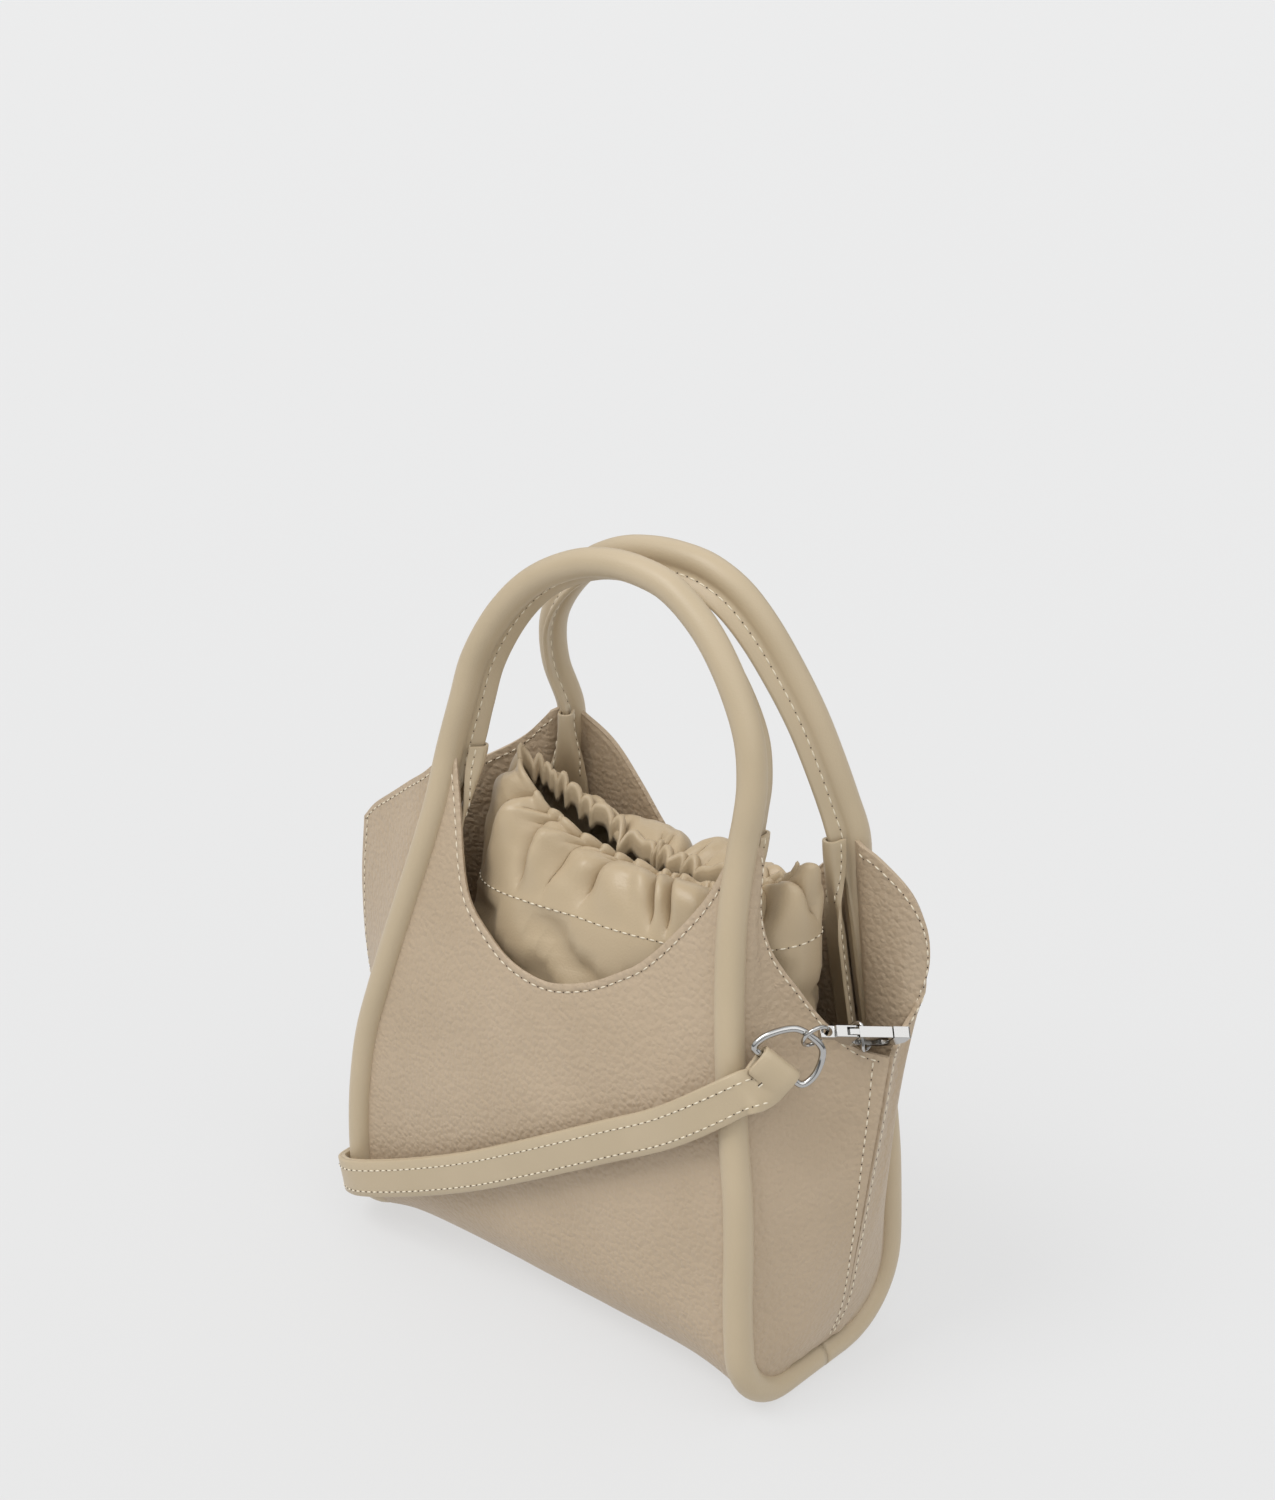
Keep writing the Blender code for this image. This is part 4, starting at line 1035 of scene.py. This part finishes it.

# %% [markdown]
# ## Stitches
# Every seam is the same thing repeated: a short thread that lies in the leather between two needle holes.
# One node tree spaces points along each line and sets on every point a thread and a dark dot, the painted
# shade of a needle hole, so the pitch is one number per seam, taken from the photograph's own counts.

# %% Stitch tree


def stitch_tree():
    """Node tree that puts a thread and a dark dot of painted shade for a needle hole at even steps along lines.
    """
    tree = bpy.data.node_groups.new("saddle_stitches", "GeometryNodeTree")
    face = tree.interface
    face.new_socket("Geometry", in_out="INPUT", socket_type="NodeSocketGeometry")
    for name, value in (("Pitch", 0.004), ("Thread Length", 0.003), ("Thread Width", 0.0007)):
        face.new_socket(name, in_out="INPUT", socket_type="NodeSocketFloat").default_value = value
    face.new_socket("Geometry", in_out="OUTPUT", socket_type="NodeSocketGeometry")
    given = add(tree, "NodeGroupInput")
    curve = add(tree, "GeometryNodeMeshToCurve", Mesh=(given, "Geometry"))
    spaced = add(tree, "GeometryNodeResampleCurve", {"mode": "LENGTH"}, Curve=(curve, "Curve"),
                 Length=(given, "Pitch"))
    faced = add(tree, "GeometryNodeInputNamedAttribute", {"data_type": "FLOAT_VECTOR"}, Name="faces_to")
    way = add(tree, "GeometryNodeInputTangent")
    turned = add(tree, "FunctionNodeAxesToRotation", {"primary_axis": "Z", "secondary_axis": "X"},
                 Primary_Axis=(faced, "Attribute"), Secondary_Axis=(way, "Tangent"))
    half = add(tree, "ShaderNodeMath", {"operation": "MULTIPLY"}, i0=(given, "Thread Length"), i1=0.5)
    thick = add(tree, "ShaderNodeMath", {"operation": "MULTIPLY"}, i0=(given, "Thread Width"), i1=0.5)
    size = add(tree, "ShaderNodeCombineXYZ", X=(half, "Value"), Y=(thick, "Value"), Z=(thick, "Value"))
    ball = add(tree, "GeometryNodeMeshUVSphere", Segments=6, Rings=4, Radius=1.0)
    strand = add(tree, "GeometryNodeTransform", Geometry=(ball, "Mesh"), Scale=(size, "Vector"))
    step = add(tree, "ShaderNodeMath", {"operation": "MULTIPLY"}, i0=(given, "Pitch"), i1=0.5)
    shift = add(tree, "ShaderNodeCombineXYZ", X=(step, "Value"))
    # The dark dot at each needle hole is painted shade: a flat spot where the hole would hold shade.
    drop = add(tree, "ShaderNodeCombineXYZ", X=(thick, "Value"), Y=(thick, "Value"), Z=0.00014)
    dot = add(tree, "GeometryNodeMeshUVSphere", Segments=6, Rings=3, Radius=1.0)
    pit = add(tree, "GeometryNodeTransform", Geometry=(dot, "Mesh"), Translation=(shift, "Vector"),
              Scale=(drop, "Vector"))
    both = add(tree, "GeometryNodeJoinGeometry")
    for shape, mat in ((strand, thread), (pit, hole)):
        placed = add(tree, "GeometryNodeInstanceOnPoints", Points=(spaced, "Curve"), Instance=(shape, "Geometry"),
                     Rotation=(turned, "Rotation"))
        real = add(tree, "GeometryNodeRealizeInstances", Geometry=(placed, "Instances"))
        made = add(tree, "GeometryNodeSetMaterial", Geometry=(real, "Geometry"), Material=mat)
        tree.links.new(made.outputs["Geometry"], both.inputs[0])
    add(tree, "NodeGroupOutput", Geometry=(both, "Geometry"))
    return tree


def sew(name, rows, pitch, tree):
    """All rows of one pitch as one mesh of stitches."""
    points, edges, ways = [], [], []
    for line, facing in rows:
        edges += [(len(points) + k, len(points) + k + 1) for k in range(len(line) - 1)]
        points += [p * MM for p in line]
        ways += [c for w in facing for c in w]
    mesh = bpy.data.meshes.new(name)
    mesh.from_pydata(points, edges, [])
    mesh.attributes.new("faces_to", "FLOAT_VECTOR", "POINT").data.foreach_set("vector", ways)
    guide = bpy.data.objects.new(name + "_guide", mesh)
    bpy.context.scene.collection.objects.link(guide)
    step = guide.modifiers.new("stitches", "NODES")
    step.node_group = tree
    values = {"Pitch": pitch * MM, "Thread Length": pitch * 0.66 * MM, "Thread Width": 0.62 * MM}
    for item in tree.interface.items_tree:
        if item.in_out == "INPUT" and item.name in values:
            step[item.identifier] = values[item.name]
    graph = bpy.context.evaluated_depsgraph_get()
    made = bpy.data.meshes.new_from_object(guide.evaluated_get(graph))
    made.name = name
    made.polygons.foreach_set("use_smooth", [True] * len(made.polygons))
    obj = bpy.data.objects.new(name, made)
    bpy.context.scene.collection.objects.link(obj)
    bpy.data.objects.remove(guide)
    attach(obj, "bag")
    return obj


saddle = stitch_tree()
for number, pitch in enumerate(sorted({row[2] for row in ROWS})):
    rows = [(line, facing) for line, facing, p in ROWS if p == pitch]
    made = sew(f"stitches_{number + 1}", rows, pitch, saddle)
    print(made.name, "pitch", pitch, "rows", len(rows), "faces", len(made.data.polygons))

# %% [markdown]
# ## Floor, light and camera
# A pale seamless floor, an even sky and one very soft lamp from the front left give the near shadowless
# look of a product photograph. The camera was fitted to the photograph's handles, corners and seams.

# %% Stage
floor_mesh = bpy.data.meshes.new("floor")
floor_mesh.from_pydata([(-40, -40, 0), (40, -40, 0), (40, 40, 0), (-40, 40, 0)], [], [(0, 1, 2, 3)])
floor = bpy.data.objects.new("floor", floor_mesh)
paper = plain("pale_paper_sweep", "#6e6e6e", 0.95)
paper.node_tree.nodes["Principled BSDF"].inputs["Emission Color"].default_value = (1.0, 1.0, 1.0, 1.0)
paper.node_tree.nodes["Principled BSDF"].inputs["Emission Strength"].default_value = 0.60
floor_mesh.materials.append(paper)
bpy.context.scene.collection.objects.link(floor)

world = bpy.data.worlds.new("studio")
bpy.context.scene.world = world
world.use_nodes = True
sky = world.node_tree
way = add(sky, "ShaderNodeTexCoord")
height = add(sky, "ShaderNodeSeparateXYZ", Vector=(way, "Generated"))
band = add(sky, "ShaderNodeMapRange", {"interpolation_type": "SMOOTHSTEP"}, Value=(height, "Z"), From_Min=0.05,
           From_Max=0.45, To_Min=0.12, To_Max=0.85)
sky.links.new(band.outputs["Result"], sky.nodes["Background"].inputs["Strength"])
sky.nodes["Background"].inputs["Color"].default_value = (0.98, 0.99, 1.0, 1.0)


def lamp(name, strength, angle, toward):
    """Broad, even light that comes from the given way."""
    light = bpy.data.lights.new(name, "SUN")
    light.energy = strength
    light.angle = math.radians(angle)
    obj = bpy.data.objects.new(name, light)
    obj.rotation_mode = "QUATERNION"
    obj.rotation_quaternion = Vector(toward).to_track_quat("Z", "Y")
    bpy.context.scene.collection.objects.link(obj)
    return obj


lamp("key", 1.25, 30, (-0.35, -0.75, 1.2))
lamp("fill", 0.6, 60, (0.9, -0.35, 1.1))
bpy.context.scene.view_settings.view_transform = "Standard"
print("lights: 2")

# %% [markdown]
# ## Camera
# A photograph shows its own angle in the lines it holds: how far the two arches stand apart gives the turn,
# and how much of the base's depth is seen gives the height. The bag's size in the frame gives the distance.

# %% Camera
AZIMUTH, ELEVATION, DISTANCE = math.radians(41.5), math.radians(22.0), 0.832
TARGET = Vector((0.010, 0.0, 0.216))
level = math.cos(ELEVATION)
back = Vector((math.sin(AZIMUTH) * level, -math.cos(AZIMUTH) * level, math.sin(ELEVATION)))
camera = bpy.data.objects.new("camera", bpy.data.cameras.new("camera"))
camera.data.sensor_fit = "HORIZONTAL"
camera.data.sensor_width = 36.0
camera.data.lens = 36.0 * 2387 / 1275
camera.data.clip_end = 200.0
camera.location = TARGET + back * DISTANCE
camera.rotation_euler = back.to_track_quat("Z", "Y").to_euler()
bpy.context.scene.collection.objects.link(camera)
bpy.context.scene.camera = camera
print("camera at", [round(v, 3) for v in camera.location])
